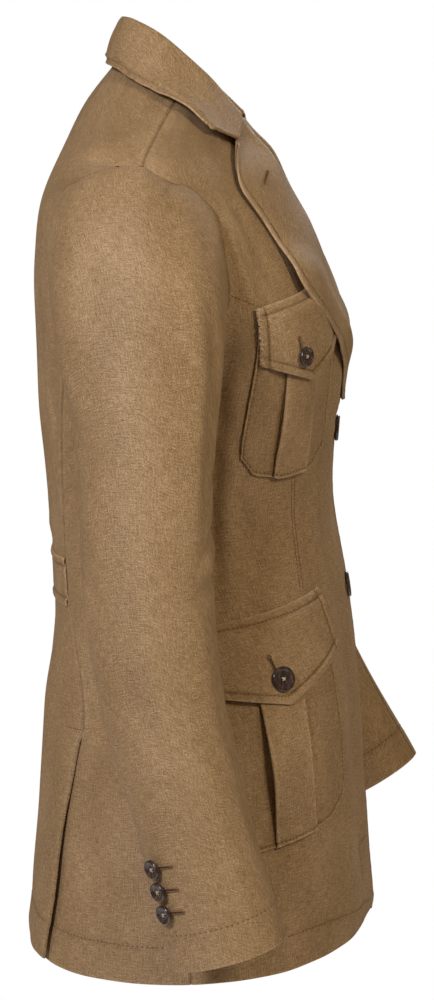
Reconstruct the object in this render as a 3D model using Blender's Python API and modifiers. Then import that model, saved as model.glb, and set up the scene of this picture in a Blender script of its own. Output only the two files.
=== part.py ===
"""Safari jacket in tan linen, worn shape with no wearer: body panels, two-piece sleeves, notched
lapels, turned-down collar, four flap pockets with box pleats, half belt, side-back vents and
buttons. Metres, Z up, the front faces -Y, the wearer's left is +X, the neck points are at Z = 0."""
import math

import bpy
import numpy as np
from mathutils import Vector

GROUP = "safari_jacket"
MATERIALS = {"linen": ((0.300, 0.205, 0.118), 0.85), "button": ((0.030, 0.018, 0.012), 0.30)}

WALL = 0.0016
SEAM = 0.00035
VENT_TOP = -0.477

# The body form: one row per level, from the hem to the neck seam. An angle goes round it from
# 0 at the centre front to 90 at the wearer's left side and 180 at the centre back.
FORM_COLUMNS = ("side_height", "front_height", "back_height", "front_depth", "side_depth",
                "back_depth", "half_width", "front_square", "back_square")
FORM = np.array([
    (-0.668, -0.674, -0.680, -0.1255, 0.008, 0.1530, 0.213, 0.030, 0.030),
    (-0.560, -0.565, -0.569, -0.1170, 0.010, 0.1405, 0.206, 0.030, 0.030),
    (-0.470, -0.473, -0.476, -0.1110, 0.012, 0.1350, 0.193, 0.030, 0.030),
    (-0.400, -0.402, -0.405, -0.1020, 0.015, 0.1281, 0.172, 0.030, 0.030),
    (-0.320, -0.322, -0.324, -0.0895, 0.020, 0.1336, 0.151, 0.035, 0.035),
    (-0.250, -0.253, -0.250, -0.0925, 0.025, 0.1387, 0.162, 0.040, 0.040),
    (-0.195, -0.200, -0.188, -0.0960, 0.031, 0.1395, 0.175, 0.045, 0.050),
    (-0.140, -0.150, -0.128, -0.0855, 0.035, 0.1385, 0.184, 0.030, 0.060),
    (-0.095, -0.112, -0.083, -0.0735, 0.040, 0.1320, 0.190, -0.010, 0.055),
    (-0.056, -0.083, -0.045, -0.0600, 0.043, 0.1165, 0.197, -0.055, 0.030),
    (-0.027, -0.062, -0.012, -0.0475, 0.033, 0.1012, 0.138, -0.050, 0.000),
    (0.000, -0.044, 0.016, -0.0355, 0.020, 0.0795, 0.075, -0.020, 0.000),
])

# Seam lines on the form, as (angle, side height).
HEM_LINE = ((0.0, -0.6495), (15.0, -0.6500), (26.0, -0.6507), (48.0, -0.6532), (68.0, -0.6588),
            (90.0, -0.6630), (112.0, -0.6625), (128.0, -0.6600), (147.0, -0.6545), (165.0, -0.6495),
            (180.0, -0.6470))
SIDE_SEAM = ((90.0, -0.6630), (90.0, -0.190))
ARMHOLE_FRONT = ((90.0, -0.190), (81.0, -0.1865), (73.0, -0.172), (68.2, -0.151), (66.8, -0.134),
                 (64.2, -0.105), (63.0, -0.086), (66.5, -0.0730), (77.0, -0.0672), (90.0, -0.0575))
ARMHOLE_BACK = ((90.0, -0.190), (101.0, -0.187), (112.0, -0.174), (122.0, -0.152), (130.0, -0.122),
                (133.5, -0.102), (131.5, -0.085), (121.0, -0.0700), (106.0, -0.0585), (90.0, -0.0575))
SIDE_BACK_SEAM = ((137.5, -0.6570), (136.0, -0.610), (134.0, -0.550), (131.0, -0.510),
                  (128.8, -0.477), (131.0, -0.443), (136.7, -0.410), (141.5, -0.392),
                  (143.0, -0.365), (141.5, -0.330), (138.0, -0.285), (132.0, -0.230),
                  (126.0, -0.190), (121.7, -0.1525))
# The front edge below the lapel, as (distance round from the centre front, side height).
FRONT_EDGE = ((0.028, -0.6508), (0.006, -0.6480), (-0.011, -0.6375), (-0.018, -0.6200), (-0.020, -0.5950),
              (-0.020, -0.420), (-0.020, -0.254))
ROLL_LINE = ((-0.020, -0.254), (-0.007, -0.209), (0.010, -0.164), (0.029, -0.114), (0.047, -0.066),
             (0.063, -0.028), (0.0765, -0.008))
LAPEL_EDGE = ((-0.012, -0.250), (0.0180, -0.2325), (0.0472, -0.2127), (0.0797, -0.1945),
              (0.1026, -0.1755), (0.1180, -0.1540), (0.1262, -0.1360), (0.1305, -0.1126),
              (0.1360, -0.0844), (0.1372, -0.0570))
NECK_FRONT = ((49.0, -0.0080), (60.0, -0.0030), (74.0, -0.0004), (90.0, 0.0))
SHOULDER = ((90.0, 0.0), (90.0, -0.0575))

# The collar: its fold, as points for the wearer's left from the gorge to the nape, and its
# outer edge on the form.
COLLAR_FOLD = ((0.0710, -0.0165, -0.0224), (0.0750, -0.0095, -0.0135), (0.0770, 0.0040, 0.0009),
               (0.0735, 0.0230, 0.0184), (0.0600, 0.0445, 0.0360), (0.0340, 0.0650, 0.0480),
               (0.0000, 0.0725, 0.0505))
COLLAR_EDGE = ((64.5, -0.0300), (78.0, -0.0225), (94.0, -0.0145), (118.0, -0.0070),
               (136.0, -0.0050), (158.0, -0.0050), (180.0, -0.0055))
COLLAR_NOTCH = (0.1010, -0.0262)
COLLAR_FOOT = ((53.0, -0.0062), (62.0, -0.0045), (76.0, -0.0028), (90.0, -0.0024), (118.0, -0.0022),
               (150.0, -0.0022), (180.0, -0.0022))

# Sleeves, one row per section below the armhole. Lean is how far the section's front is raised.
SLEEVE_COLUMNS = ("height", "depth", "side", "half_depth", "half_side", "lean")
SLEEVE_RIGHT = np.array([
    (-0.205, 0.0415, 0.2310, 0.0575, 0.0490, 2.0),
    (-0.250, 0.0385, 0.2390, 0.0508, 0.0470, 3.0),
    (-0.300, 0.0365, 0.2470, 0.0480, 0.0450, 4.0),
    (-0.350, 0.0335, 0.2540, 0.0470, 0.0430, 6.0),
    (-0.400, 0.0284, 0.2600, 0.0460, 0.0410, 9.0),
    (-0.450, 0.0202, 0.2640, 0.0437, 0.0390, 12.0),
    (-0.500, 0.0087, 0.2660, 0.0425, 0.0370, 14.0),
    (-0.550, -0.0039, 0.2670, 0.0415, 0.0350, 15.0),
    (-0.620, -0.0225, 0.2670, 0.0432, 0.0340, 16.0),
])
SLEEVE_LEFT = np.array([
    (-0.205, 0.0380, 0.2310, 0.0575, 0.0490, 4.0),
    (-0.250, 0.0310, 0.2390, 0.0508, 0.0470, 8.0),
    (-0.300, 0.0210, 0.2460, 0.0480, 0.0450, 12.0),
    (-0.350, 0.0070, 0.2500, 0.0470, 0.0430, 17.0),
    (-0.400, -0.0120, 0.2515, 0.0460, 0.0410, 22.0),
    (-0.450, -0.0350, 0.2505, 0.0437, 0.0390, 25.0),
    (-0.500, -0.0640, 0.2490, 0.0425, 0.0370, 28.0),
    (-0.550, -0.0920, 0.2460, 0.0415, 0.0350, 30.0),
    (-0.6160, -0.1275, 0.2420, 0.0432, 0.0340, 31.0),
])
FRONT_SLEEVE_SEAM = 105.0
BACK_SLEEVE_SEAM = -105.0

# Pockets: corner positions as (distance round from the centre front, side height), from the
# edge nearest the buttons to the edge nearest the side.
CHEST_PATCH = {
    "near": ((0.0810, -0.1560), (0.0781, -0.1985), (0.0745, -0.2506), (0.0770, -0.2720)),
    "foot": ((0.0770, -0.2720), (0.0990, -0.2868), (0.1380, -0.2908), (0.1600, -0.2885),
             (0.1725, -0.2750)),
    "far": ((0.1780, -0.1745), (0.1800, -0.2085), (0.1755, -0.2600), (0.1725, -0.2750)),
    "pleat": (0.325, 0.715), "rise": 0.0022, "lift": 0.0022,
}
CHEST_FLAP = {
    "near": ((0.0760, -0.1365), (0.0722, -0.1865)), "middle": ((0.1272, -0.1485), (0.1315, -0.2142)),
    "far": ((0.1785, -0.1602), (0.1769, -0.2030)), "lift": 0.0023,
}
HIP_PATCH = {
    "near": ((0.1100, -0.3960), (0.1116, -0.4435), (0.1146, -0.5250)),
    "foot": ((0.1146, -0.5250), (0.1190, -0.5380), (0.1409, -0.5494), (0.1606, -0.5529),
             (0.2046, -0.5613), (0.2560, -0.5715), (0.2750, -0.5580)),
    "far": ((0.2540, -0.4180), (0.2610, -0.4600), (0.2750, -0.5580)),
    "pleat": (0.325, 0.595), "rise": 0.0024, "lift": 0.0012,
}
HIP_FLAP = {
    "near": ((0.1075, -0.3795), (0.0990, -0.4265)), "middle": ((0.1845, -0.3935), (0.1778, -0.4587)),
    "far": ((0.2615, -0.4065), (0.2580, -0.4480)), "lift": 0.0013,
}
# Buttons: closure buttons as (side height, gap to the cloth), the others as (distance, side height).
CLOSURE_BUTTONS = ((-0.268, 0.0010), (-0.394, 0.0002))
CHEST_BUTTON = (0.1416, -0.1964)
HIP_BUTTON = (0.1796, -0.4402)
CUFF_BUTTON_HEIGHTS = (-0.5438, -0.5603, -0.5768)
CUFF_BUTTON_TURN = -51.0


def smooth(x, xs, ys):
    """A cubic through the table's points with the slope at each point that its neighbours give."""
    xs = np.asarray(xs, float)
    ys = np.asarray(ys, float)
    x = np.asarray(x, float)
    slopes = np.diff(ys) / np.diff(xs)
    widths = np.diff(xs)
    m = np.empty_like(ys)
    m[0], m[-1] = slopes[0], slopes[-1]
    m[1:-1] = (slopes[:-1] * widths[1:] + slopes[1:] * widths[:-1]) / (widths[1:] + widths[:-1])
    i = np.clip(np.searchsorted(xs, x, side="right") - 1, 0, len(xs) - 2)
    w = xs[i + 1] - xs[i]
    t = (x - xs[i]) / w
    return ((2 * t**3 - 3 * t**2 + 1) * ys[i] + (t**3 - 2 * t**2 + t) * w * m[i]
            + (3 * t**2 - 2 * t**3) * ys[i + 1] + (t**3 - t**2) * w * m[i + 1])


def ease(x, low, high):
    """0 up to low, 1 from high, a smooth step between."""
    t = np.clip((np.asarray(x, float) - low) / (high - low), 0.0, 1.0)
    return t * t * (3 - 2 * t)


def body(angle, height):
    """The point of the body form at an angle in degrees and a side height."""
    angle, height = np.broadcast_arrays(np.asarray(angle, float), np.asarray(height, float))
    t = np.radians(angle)
    front_z, back_z, front_y, side_y, back_y, half, front_sq, back_sq = (
        smooth(height, FORM[:, 0], FORM[:, j]) for j in range(1, 9))
    c, s = np.cos(t), np.sin(t)
    square = np.where(c > 0, front_sq, back_sq)
    along = (c - square * np.cos(3 * t)) / (1 - square)
    across = (s + square * np.sin(3 * t)) / (1 - square)
    y = side_y - np.where(c > 0, side_y - front_y, back_y - side_y) * along
    z = height + np.where(c > 0, front_z - height, back_z - height) * c**2
    return np.stack([half * across, y, z], -1)


def body_normal(angle, height):
    """The outward direction of the body form."""
    angle, height = np.broadcast_arrays(np.asarray(angle, float), np.asarray(height, float))
    low = np.clip(height - 0.0008, -0.668, 0.0)
    high = np.clip(height + 0.0008, -0.668, 0.0)
    n = np.cross(body(angle + 0.4, height) - body(angle - 0.4, height),
                 body(angle, high) - body(angle, low))
    return n / np.linalg.norm(n, axis=-1, keepdims=True)


def lifted(angle, height, lift):
    """A point on the body form, moved outward."""
    return body(angle, height) + body_normal(angle, height) * np.asarray(lift)[..., None]


def angle_at(distance, height):
    """The angle that is a distance round the form from the centre front, at a side height."""
    distance, height = np.broadcast_arrays(np.asarray(distance, float), np.asarray(height, float))
    flat_d, flat_h = distance.ravel(), height.ravel()
    angles = np.linspace(-30.0, 150.0, 181)
    ring = body(angles[None, :], flat_h[:, None])
    run = np.cumsum(np.linalg.norm(np.diff(ring, axis=1), axis=2), axis=1)
    run = np.concatenate([np.zeros((len(flat_h), 1)), run], axis=1)
    run -= run[:, 30:31]
    found = [np.interp(d, r, angles) for d, r in zip(flat_d, run)]
    return np.array(found).reshape(distance.shape)


def distance_at(angle, height):
    """How far round the form an angle is from the centre front."""
    angle, height = np.broadcast_arrays(np.asarray(angle, float), np.asarray(height, float))
    share = np.linspace(0.0, 1.0, 61)
    ring = body(angle[..., None] * share, np.repeat(height[..., None], 61, axis=-1))
    return np.sign(angle) * np.linalg.norm(np.diff(ring, axis=-2), axis=-1).sum(-1)


def as_angles(points):
    """Turns a table of (distance, height) into (angle, height)."""
    p = np.array(points, float)
    return np.stack([angle_at(p[:, 0], p[:, 1]), p[:, 1]], 1)


def along(points, t, soft=True):
    """Points at shares t of a line's length, where a degree counts as 3.2 mm in flat tables."""
    p = np.array(points, float)
    scale = np.array([0.0032, 1.0]) if p.shape[1] == 2 else np.ones(p.shape[1])
    run = np.concatenate([[0.0], np.cumsum(np.linalg.norm(np.diff(p * scale, axis=0), axis=1))])
    run /= run[-1]
    if soft and len(p) > 2:
        return np.stack([smooth(t, run, p[:, j]) for j in range(p.shape[1])], -1)
    return np.stack([np.interp(t, run, p[:, j]) for j in range(p.shape[1])], -1)


def joined(parts, t):
    """Several lines end to end; each part is (share of t, points)."""
    t = np.asarray(t, float)
    out = None
    start = 0.0
    total = sum(share for share, _ in parts)
    for share, points in parts:
        share /= total
        local = np.clip((t - start) / share, 0.0, 1.0)
        value = along(points, local)
        out = value if out is None else np.where((t > start)[:, None], value, out)
        start += share
    return out


def steps(cells, edge=0.22):
    """Grid positions from 0 to 1 with a narrow first and last cell."""
    inner = np.linspace(0.0, 1.0, cells - 1)
    first = edge * inner[1]
    return np.concatenate([[0.0], [first], inner[1:-1], [1.0 - first], [1.0]])


def coons(near, far, low, high, a, b):
    """A grid spanned between four border lines: near and far run along b, low and high along a."""
    a = a[:, None, None]
    b = b[None, :, None]
    sides = (1 - a) * near[None, :, :] + a * far[None, :, :]
    ends = (1 - b) * low[:, None, :] + b * high[:, None, :]
    corners = ((1 - a) * (1 - b) * low[0] + a * (1 - b) * low[-1]
               + (1 - a) * b * high[0] + a * b * high[-1])
    return sides + ends - corners


def grid_normals(grid, closed=False):
    """Unit normals of a grid of points from its rows and columns."""
    da = np.gradient(grid, axis=0)
    if closed:
        da = np.roll(grid, -1, axis=0) - np.roll(grid, 1, axis=0)
    n = np.cross(da, np.gradient(grid, axis=1))
    return n / np.maximum(np.linalg.norm(n, axis=-1, keepdims=True), 1e-12)


def start(name):
    """Removes the scene's objects and adds the collection that the garment goes in."""
    for item in list(bpy.data.objects):
        bpy.data.objects.remove(item, do_unlink=True)
    group = bpy.data.collections.new(name)
    bpy.context.scene.collection.children.link(group)


def painted(name, colour, roughness):
    """A Principled BSDF material of one plain colour."""
    paint = bpy.data.materials.new(name)
    paint.use_nodes = True
    shader = paint.node_tree.nodes["Principled BSDF"]
    shader.inputs["Base Color"].default_value = (*colour, 1.0)
    shader.inputs["Roughness"].default_value = roughness
    shader.inputs["Metallic"].default_value = 0.0
    return paint


def placed(name, mesh, kind):
    """Adds a mesh as one object of the garment, with its material."""
    material = bpy.data.materials.get(kind) or painted(kind, *MATERIALS[kind])
    if not mesh.materials:
        mesh.materials.append(material)
    item = bpy.data.objects.new(name, mesh)
    bpy.data.collections[GROUP].objects.link(item)
    return item


def add_mesh(name, points, faces):
    """Adds a closed mesh of cloth as one object."""
    mesh = bpy.data.meshes.new(name)
    mesh.from_pydata([tuple(float(v) for v in p) for p in points], [], faces)
    mesh.validate()
    mesh.shade_smooth()
    return placed(name, mesh, "linen")


def cloth(name, grid, mirror=False, wall=WALL, normals=None, flip=False):
    """A cloth wall: the grid is its outer face, and its inner face is one wall thickness below."""
    n = grid_normals(grid) if normals is None else normals
    if flip:
        n = -n
    inner = grid - n * wall
    na, nb = grid.shape[:2]
    points = np.concatenate([grid.reshape(-1, 3), inner.reshape(-1, 3)])
    base = na * nb

    def at(i, j, side):
        return side * base + i * nb + j

    faces = []
    for i in range(na - 1):
        for j in range(nb - 1):
            faces.append((at(i, j, 0), at(i + 1, j, 0), at(i + 1, j + 1, 0)))
            faces.append((at(i, j, 0), at(i + 1, j + 1, 0), at(i, j + 1, 0)))
            faces.append((at(i, j, 1), at(i + 1, j + 1, 1), at(i + 1, j, 1)))
            faces.append((at(i, j, 1), at(i, j + 1, 1), at(i + 1, j + 1, 1)))
    rim = ([(i, 0) for i in range(na)] + [(na - 1, j) for j in range(1, nb)]
           + [(i, nb - 1) for i in range(na - 2, -1, -1)] + [(0, j) for j in range(nb - 2, 0, -1)])
    for k, (i, j) in enumerate(rim):
        i2, j2 = rim[(k + 1) % len(rim)]
        faces.append((at(i, j, 0), at(i, j, 1), at(i2, j2, 1)))
        faces.append((at(i, j, 0), at(i2, j2, 1), at(i2, j2, 0)))
    if flip != mirror:
        faces = [tuple(reversed(f)) for f in faces]
    if mirror:
        points = points * np.array([-1.0, 1.0, 1.0])
    return add_mesh(name, points, faces)


def shrunk(grid, near=0.0, far=0.0, low=0.0, high=0.0):
    """Moves a grid's borders inward along its rows and columns by the given distances."""
    grid = grid.copy()

    def pulled(edge, inner, distance):
        step = inner - edge
        return edge + step / np.linalg.norm(step, axis=-1, keepdims=True) * distance

    if near:
        grid[0] = pulled(grid[0], grid[1], near)
    if far:
        grid[-1] = pulled(grid[-1], grid[-2], far)
    if low:
        grid[:, 0] = pulled(grid[:, 0], grid[:, 1], low)
    if high:
        grid[:, -1] = pulled(grid[:, -1], grid[:, -2], high)
    return grid


def hem_points(first, last, t):
    """The hem line between two angles, as (angle, height) at shares t."""
    table = np.array(HEM_LINE)
    angle = first + (last - first) * t
    return np.stack([angle, smooth(angle, table[:, 0], table[:, 1])], -1)


ARM_STEPS = 12


def lap_lift(distance, height):
    """How far the right front stands off the left one where it laps over it."""
    low = 0.0026 + 0.0034 * ease(height, -0.2590, -0.2460)
    return low * (1 - ease(distance, 0.028, 0.062)) * (1 - ease(height, -0.182, -0.140))


def armhole_nodes(line):
    """Evenly spaced points of one half of the armhole, shared by the panels and the sleeve."""
    return along(line, np.arange(ARM_STEPS + 1) / ARM_STEPS)


def with_edge(values, share=0.22):
    """Adds a narrow first and last step to a run of grid rows."""
    first = values[0] + (values[1] - values[0]) * share
    last = values[-1] + (values[-2] - values[-1]) * share
    return np.concatenate([values[:1], first[None], values[1:-1], last[None], values[-1:]])


def panel(name, angle, height, lift, mirror, **borders):
    """A cloth wall on the body form whose thickness runs along the form's own normals."""
    grid = shrunk(lifted(angle, height, lift), **borders)
    return cloth(name, grid, mirror, normals=body_normal(angle, height))


def shoulder_rows(count):
    """Points up the shoulder line from just above the armhole to the neck point."""
    return along(SHOULDER[::-1], np.arange(1, count + 1) / count)


def make_front(name, mirror, over):
    """A front panel from the front edge and roll line to the side seam, armhole and shoulder."""
    a = steps(11)
    share = np.append(np.linspace(0, 1, 10)[:-1], 0.972)
    side = along(SIDE_SEAM, share)
    far = with_edge(np.concatenate([side, armhole_nodes(ARMHOLE_FRONT), shoulder_rows(4)]))
    b = with_edge(np.concatenate([share * 0.60, np.linspace(0.60, 1, ARM_STEPS + 5)]))
    near = joined([(0.60, as_angles(FRONT_EDGE)), (0.40, as_angles(ROLL_LINE))], b)
    low = hem_points(near[0, 0], 90.0, a)
    high = along(NECK_FRONT, a)
    low[0], high[0], high[-1] = near[0], near[-1], far[-1]
    flat = coons(near, far, low, high, a, b)
    angle, height = flat[..., 0], flat[..., 1]
    lift = lap_lift(distance_at(angle, height), height) if over else np.zeros_like(angle)
    return panel(name, angle, height, lift, mirror, near=0.0003, far=SEAM, high=SEAM)


def seam_rows(heights):
    """Points of the side-back seam at given side heights, as (angle, height)."""
    table = np.array(SIDE_BACK_SEAM)
    return np.stack([smooth(heights, table[:, 1], table[:, 0]), heights], -1)


SIDE_ROWS = np.array([-0.6570, -0.6520, -0.622, -0.590, -0.558, -0.528, -0.506, -0.4875, -0.4835, -0.476,
                      -0.462, -0.442, -0.420, -0.392, -0.360, -0.325, -0.290, -0.255, -0.220, -0.185,
                      -0.156, -0.152])


def make_side(name, mirror):
    """A side panel from the side seam to the side-back seam, with the vent's under lap."""
    nodes = armhole_nodes(ARMHOLE_BACK)[:5]
    a = with_edge(np.linspace(0, 1, 5))
    heights = SIDE_ROWS
    b = (heights - heights[0]) / (heights[-1] - heights[0])
    near = np.stack([np.full(len(b), 90.0), -0.6630 + 0.4730 * b], -1)
    far = seam_rows(heights)
    far[-1] = nodes[-1]
    far[-2] = far[-3] + (far[-1] - far[-3]) * (heights[-2] - far[-3, 1]) / (far[-1, 1] - far[-3, 1])
    far[:, 0] += 8.0 * (heights < -0.486)
    low = hem_points(near[0, 0], far[0, 0], a)
    high = with_edge(nodes)
    flat = coons(near, far, low, high, a, b)
    angle, height = flat[..., 0], flat[..., 1]
    return panel(name, angle, height, np.zeros_like(angle), mirror, near=SEAM, high=SEAM)


def make_back(name):
    """The back panel, both halves in one piece, standing off the side panels at the vents."""
    a = steps(9)
    nodes = armhole_nodes(ARMHOLE_BACK)[4:]
    top = with_edge(np.concatenate([nodes[-1:], shoulder_rows(4)]))[2:]
    far = np.concatenate([seam_rows(SIDE_ROWS[:-2]), nodes, top])
    run = np.linalg.norm(np.diff(far * np.array([0.0015, 1.0]), axis=0), axis=1)
    b = np.concatenate([[0.0], np.cumsum(run)])
    b /= b[-1]
    middle = np.stack([np.full(len(b), 180.0), np.interp(b, [0, 1], [-0.6475, 0.0])], -1)
    low = hem_points(180.0, far[0, 0], a)
    high = along(((180.0, 0.0), (90.0, 0.0)), a)
    high[-1] = far[-1]
    flat = coons(middle, far, low, high, a, b)
    angle, height = flat[..., 0], flat[..., 1]
    inward = (angle - far[None, :, 0]) * 0.0034
    below = (far[None, :, 1] < -0.483).astype(float)
    lift = (0.0026 + 0.0022 * ease(-height, 0.50, 0.63)) * below * (1 - ease(inward, 0.030, 0.066))
    half = shrunk(lifted(angle, height, lift), far=SEAM, high=SEAM)
    normal = body_normal(angle, height)
    flip = np.array([-1.0, 1.0, 1.0])
    whole = np.concatenate([half[1:][::-1] * flip, half])
    normals = np.concatenate([normal[1:][::-1] * flip, normal])
    return cloth(name, whole, normals=-normals, flip=True)


def fold_profile(size):
    """The lapel's turn round the front's roll line: (beyond the line, above the form) pairs."""
    return ((-0.0023, -0.0008), (-0.0027, 0.0003), (-0.0024, 0.0017 * size + 0.0006),
            (-0.0010, 0.0031 * size + 0.0008), (0.0016, 0.0040 * size + 0.0010))


def make_lapel(name, mirror, over):
    """The lapel, turned over the front along the roll line, notched at the top."""
    b = steps(15)
    roll = along(as_angles(ROLL_LINE), 0.03 + 0.95 * b)
    edge = along(as_angles(LAPEL_EDGE), 0.03 + 0.96 * b)
    size = 0.25 + 0.75 * ease(roll[:, 1], -0.215, -0.160)

    def under(place):
        if not over:
            return np.zeros(len(place))
        return lap_lift(distance_at(place[:, 0], place[:, 1]), place[:, 1])

    start = lifted(roll[:, 0], roll[:, 1], under(roll))
    ahead = roll + (edge - roll) * 0.02
    across = body(ahead[:, 0], ahead[:, 1]) - body(roll[:, 0], roll[:, 1])
    across /= np.linalg.norm(across, axis=-1, keepdims=True)
    up = body_normal(roll[:, 0], roll[:, 1])
    rows = []
    for k in range(5):
        pair = np.array([fold_profile(s)[k] for s in size])
        rows.append(start + across * pair[:, :1] + up * pair[:, 1:])
    for share in (0.16, 0.36, 0.58, 0.80, 0.96, 1.0):
        place = roll + (edge - roll) * share
        over_flap = ease(share, 0.30, 0.75) * ease(place[:, 1], -0.225, -0.185)
        over_flap = over_flap * (1 - ease(place[:, 1], -0.135, -0.105))
        rise = 0.0022 + (0.0032 + 0.0014 * math.sin(math.pi * share)) * size + 0.0056 * over_flap
        rows.append(lifted(place[:, 0], place[:, 1], rise + under(place)))
    return cloth(name, np.array(rows), mirror)


def make_collar(name):
    """The collar: a stand that rises from the neck seam, folds over and falls to its edge."""
    b = steps(13)
    foot = along(COLLAR_FOOT, b)
    foot = lifted(foot[:, 0], foot[:, 1], np.interp(b, [0, 0.12, 0.3, 1], [0.0034, 0.0026, 0.0012, 0.0010]))
    fold = along(COLLAR_FOLD, b)
    edge = along(COLLAR_EDGE, b)
    edge = lifted(edge[:, 0], edge[:, 1], np.full(len(b), 0.0056))
    down = edge - fold
    down /= np.linalg.norm(down, axis=-1, keepdims=True)
    out = np.stack([fold[:, 0], (fold[:, 1] - 0.02) * 0.9, np.zeros(len(b))], -1)
    out /= np.linalg.norm(out, axis=-1, keepdims=True)
    out[-1] = (0.0, 1.0, 0.0)
    stand_top = fold - out * 0.0026 + np.array([0.0, 0.0, -0.0030])
    crown_in = fold - out * 0.0012 + np.array([0.0, 0.0, -0.0007])
    crown = fold + out * 0.0004 + np.array([0.0, 0.0, 0.0002])
    fall_top = fold + out * 0.0022 + np.array([0.0, 0.0, -0.0016])
    notch = lifted(angle_at(*COLLAR_NOTCH), np.array(COLLAR_NOTCH[1]), np.array(0.0056))
    rows = [foot, foot + (stand_top - foot) * 0.12, foot + (stand_top - foot) * 0.5,
            stand_top, crown_in, crown, fall_top]
    shares = (0.30, 0.62, 0.93, 1.0)
    for share in shares:
        line = fall_top + (edge - fall_top) * share
        bulge = 0.0045 * math.sin(math.pi * share) * np.interp(b, [0, 0.2, 1], [0.3, 1.0, 0.6])
        rows.append(line + out * bulge[:, None])
    grid = np.array(rows)
    # The front end of the fall runs from the gorge to the notch and on to the collar's point.
    end = np.array([fall_top[0], notch, edge[0]])
    end_line = along(end, np.array(shares), soft=False)
    shift = end_line - grid[7:, 0]
    fade = 1 - ease(b, 0.0, 0.30)
    grid[7:] += shift[:, None, :] * fade[None, :, None]
    half = grid
    other = half[:, :-1] * np.array([-1.0, 1.0, 1.0])
    whole = np.concatenate([half, other[:, ::-1]], axis=1)
    return cloth(name, whole)


def armhole_loop(angles):
    """The armhole at angles round the sleeve: 0 shoulder, 90 front, 180 under the arm, 270 back."""
    turn = np.mod(angles, 360.0)
    front = along(ARMHOLE_FRONT[::-1], np.clip(turn / 180.0, 0, 1))
    back = along(ARMHOLE_BACK[::-1], np.clip((360.0 - turn) / 180.0, 0, 1))
    return np.where((turn <= 180.0)[:, None], front, back)


def sleeve_section(table, height, turn):
    """Points of the sleeve's section whose centre is at a height."""
    depth, side, half_depth, half_side, lean = (
        smooth(height, table[::-1, 0], table[::-1, j]) for j in range(1, 6))
    t = np.radians(turn)
    forward = half_depth * np.sin(t)
    tilt = np.radians(lean)
    return np.stack([side + half_side * np.cos(t), depth - forward * np.cos(tilt),
                     height + forward * np.sin(tilt)], -1)


def sleeve_grid(table, turn, cap, lower):
    """The sleeve over a range of angles: a cap from the armhole, then sections to the cuff."""
    place = armhole_loop(turn)
    start = body(place[:, 0], place[:, 1])
    normal = body_normal(place[:, 0], place[:, 1])
    ring = sleeve_section(table, np.full(len(turn), table[0, 0]), turn)
    t = np.radians(turn)
    top = np.clip(np.cos(t), 0.0, 1.0)
    under = np.clip(-np.cos(t), 0.0, 1.0)
    away = np.stack([0.95 - 0.12 * under, 0.10 * -np.sin(t), -0.12 - 0.22 * top - 0.35 * under], -1)
    away /= np.linalg.norm(away, axis=-1, keepdims=True)
    gap = np.linalg.norm(ring - start, axis=-1, keepdims=True) * (1 + 0.4 * under[:, None])
    inward = np.stack([np.zeros(len(t)), np.sin(t), -np.cos(t)], -1)
    rear = np.clip(-np.sin(t), 0.0, 1.0) ** 2 * (1 - under)
    spare = (0.0004 + 0.0006 * under + 0.0004 * rear)[:, None]
    start = start + (away + inward) * spare + normal * 0.0002
    below = sleeve_section(table, np.full(len(turn), table[0, 0] - 0.02), turn) - ring
    below /= np.linalg.norm(below, axis=-1, keepdims=True)
    rows = []
    for s in cap:
        rows.append((2 * s**3 - 3 * s**2 + 1) * start + (s**3 - 2 * s**2 + s) * gap * away * 1.0
                    + (3 * s**2 - 2 * s**3) * ring + (s**3 - s**2) * gap * below * 0.9)
    for height in lower:
        rows.append(sleeve_section(table, np.full(len(turn), height), turn))
    return np.array(rows).transpose(1, 0, 2)


def make_sleeve(name, mirror, table, first, last):
    """One piece of a two-piece sleeve between two seams."""
    turn = with_edge(np.arange(first, last + 1, 180.0 / ARM_STEPS))
    bottom = table[-1, 0]
    lower = list(np.linspace(table[0, 0], bottom, 11)[1:])
    lower.insert(-1, bottom + 0.006)
    grid = sleeve_grid(table, turn, (0.0, 0.05, 0.16, 0.32, 0.52, 0.76, 1.0), lower)
    grid = shrunk(grid, near=SEAM / 2, far=SEAM / 2)
    return cloth(name, grid, mirror, flip=True)


def pocket_patch(name, mirror, table):
    """A patch pocket with clipped lower corners and a raised box pleat down its middle."""
    first, last = table["pleat"]
    a = np.array([0.0, 0.04, 0.20, first - 0.012, first + 0.012, (first + last) / 2,
                  last - 0.012, last + 0.012, 0.80, 0.96, 1.0])
    b = np.array([0.0, 0.05, 0.28, 0.52, 0.76, 0.95, 1.0])
    near, far, foot = (as_angles(table[key]) for key in ("near", "far", "foot"))
    side_near = along(near, b, soft=False)
    side_far = along(far, b, soft=False)
    share = (foot[:, 0] - foot[0, 0]) / (foot[-1, 0] - foot[0, 0])
    low = np.stack([np.interp(a, [0, 1], [near[0, 0], far[0, 0]]),
                    np.interp(a, [0, 1], [near[0, 1], far[0, 1]])], -1)
    high = np.stack([np.interp(a, share, foot[:, 0]), np.interp(a, share, foot[:, 1])], -1)
    flat = coons(side_near, side_far, low, high, a, b)
    on_pleat = ((a > first) & (a < last)).astype(float)
    lift = table["lift"] + table["rise"] * on_pleat[:, None] * np.ones(len(b))
    grid = lifted(flat[..., 0], flat[..., 1], lift)
    return cloth(name, grid, mirror)


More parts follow.
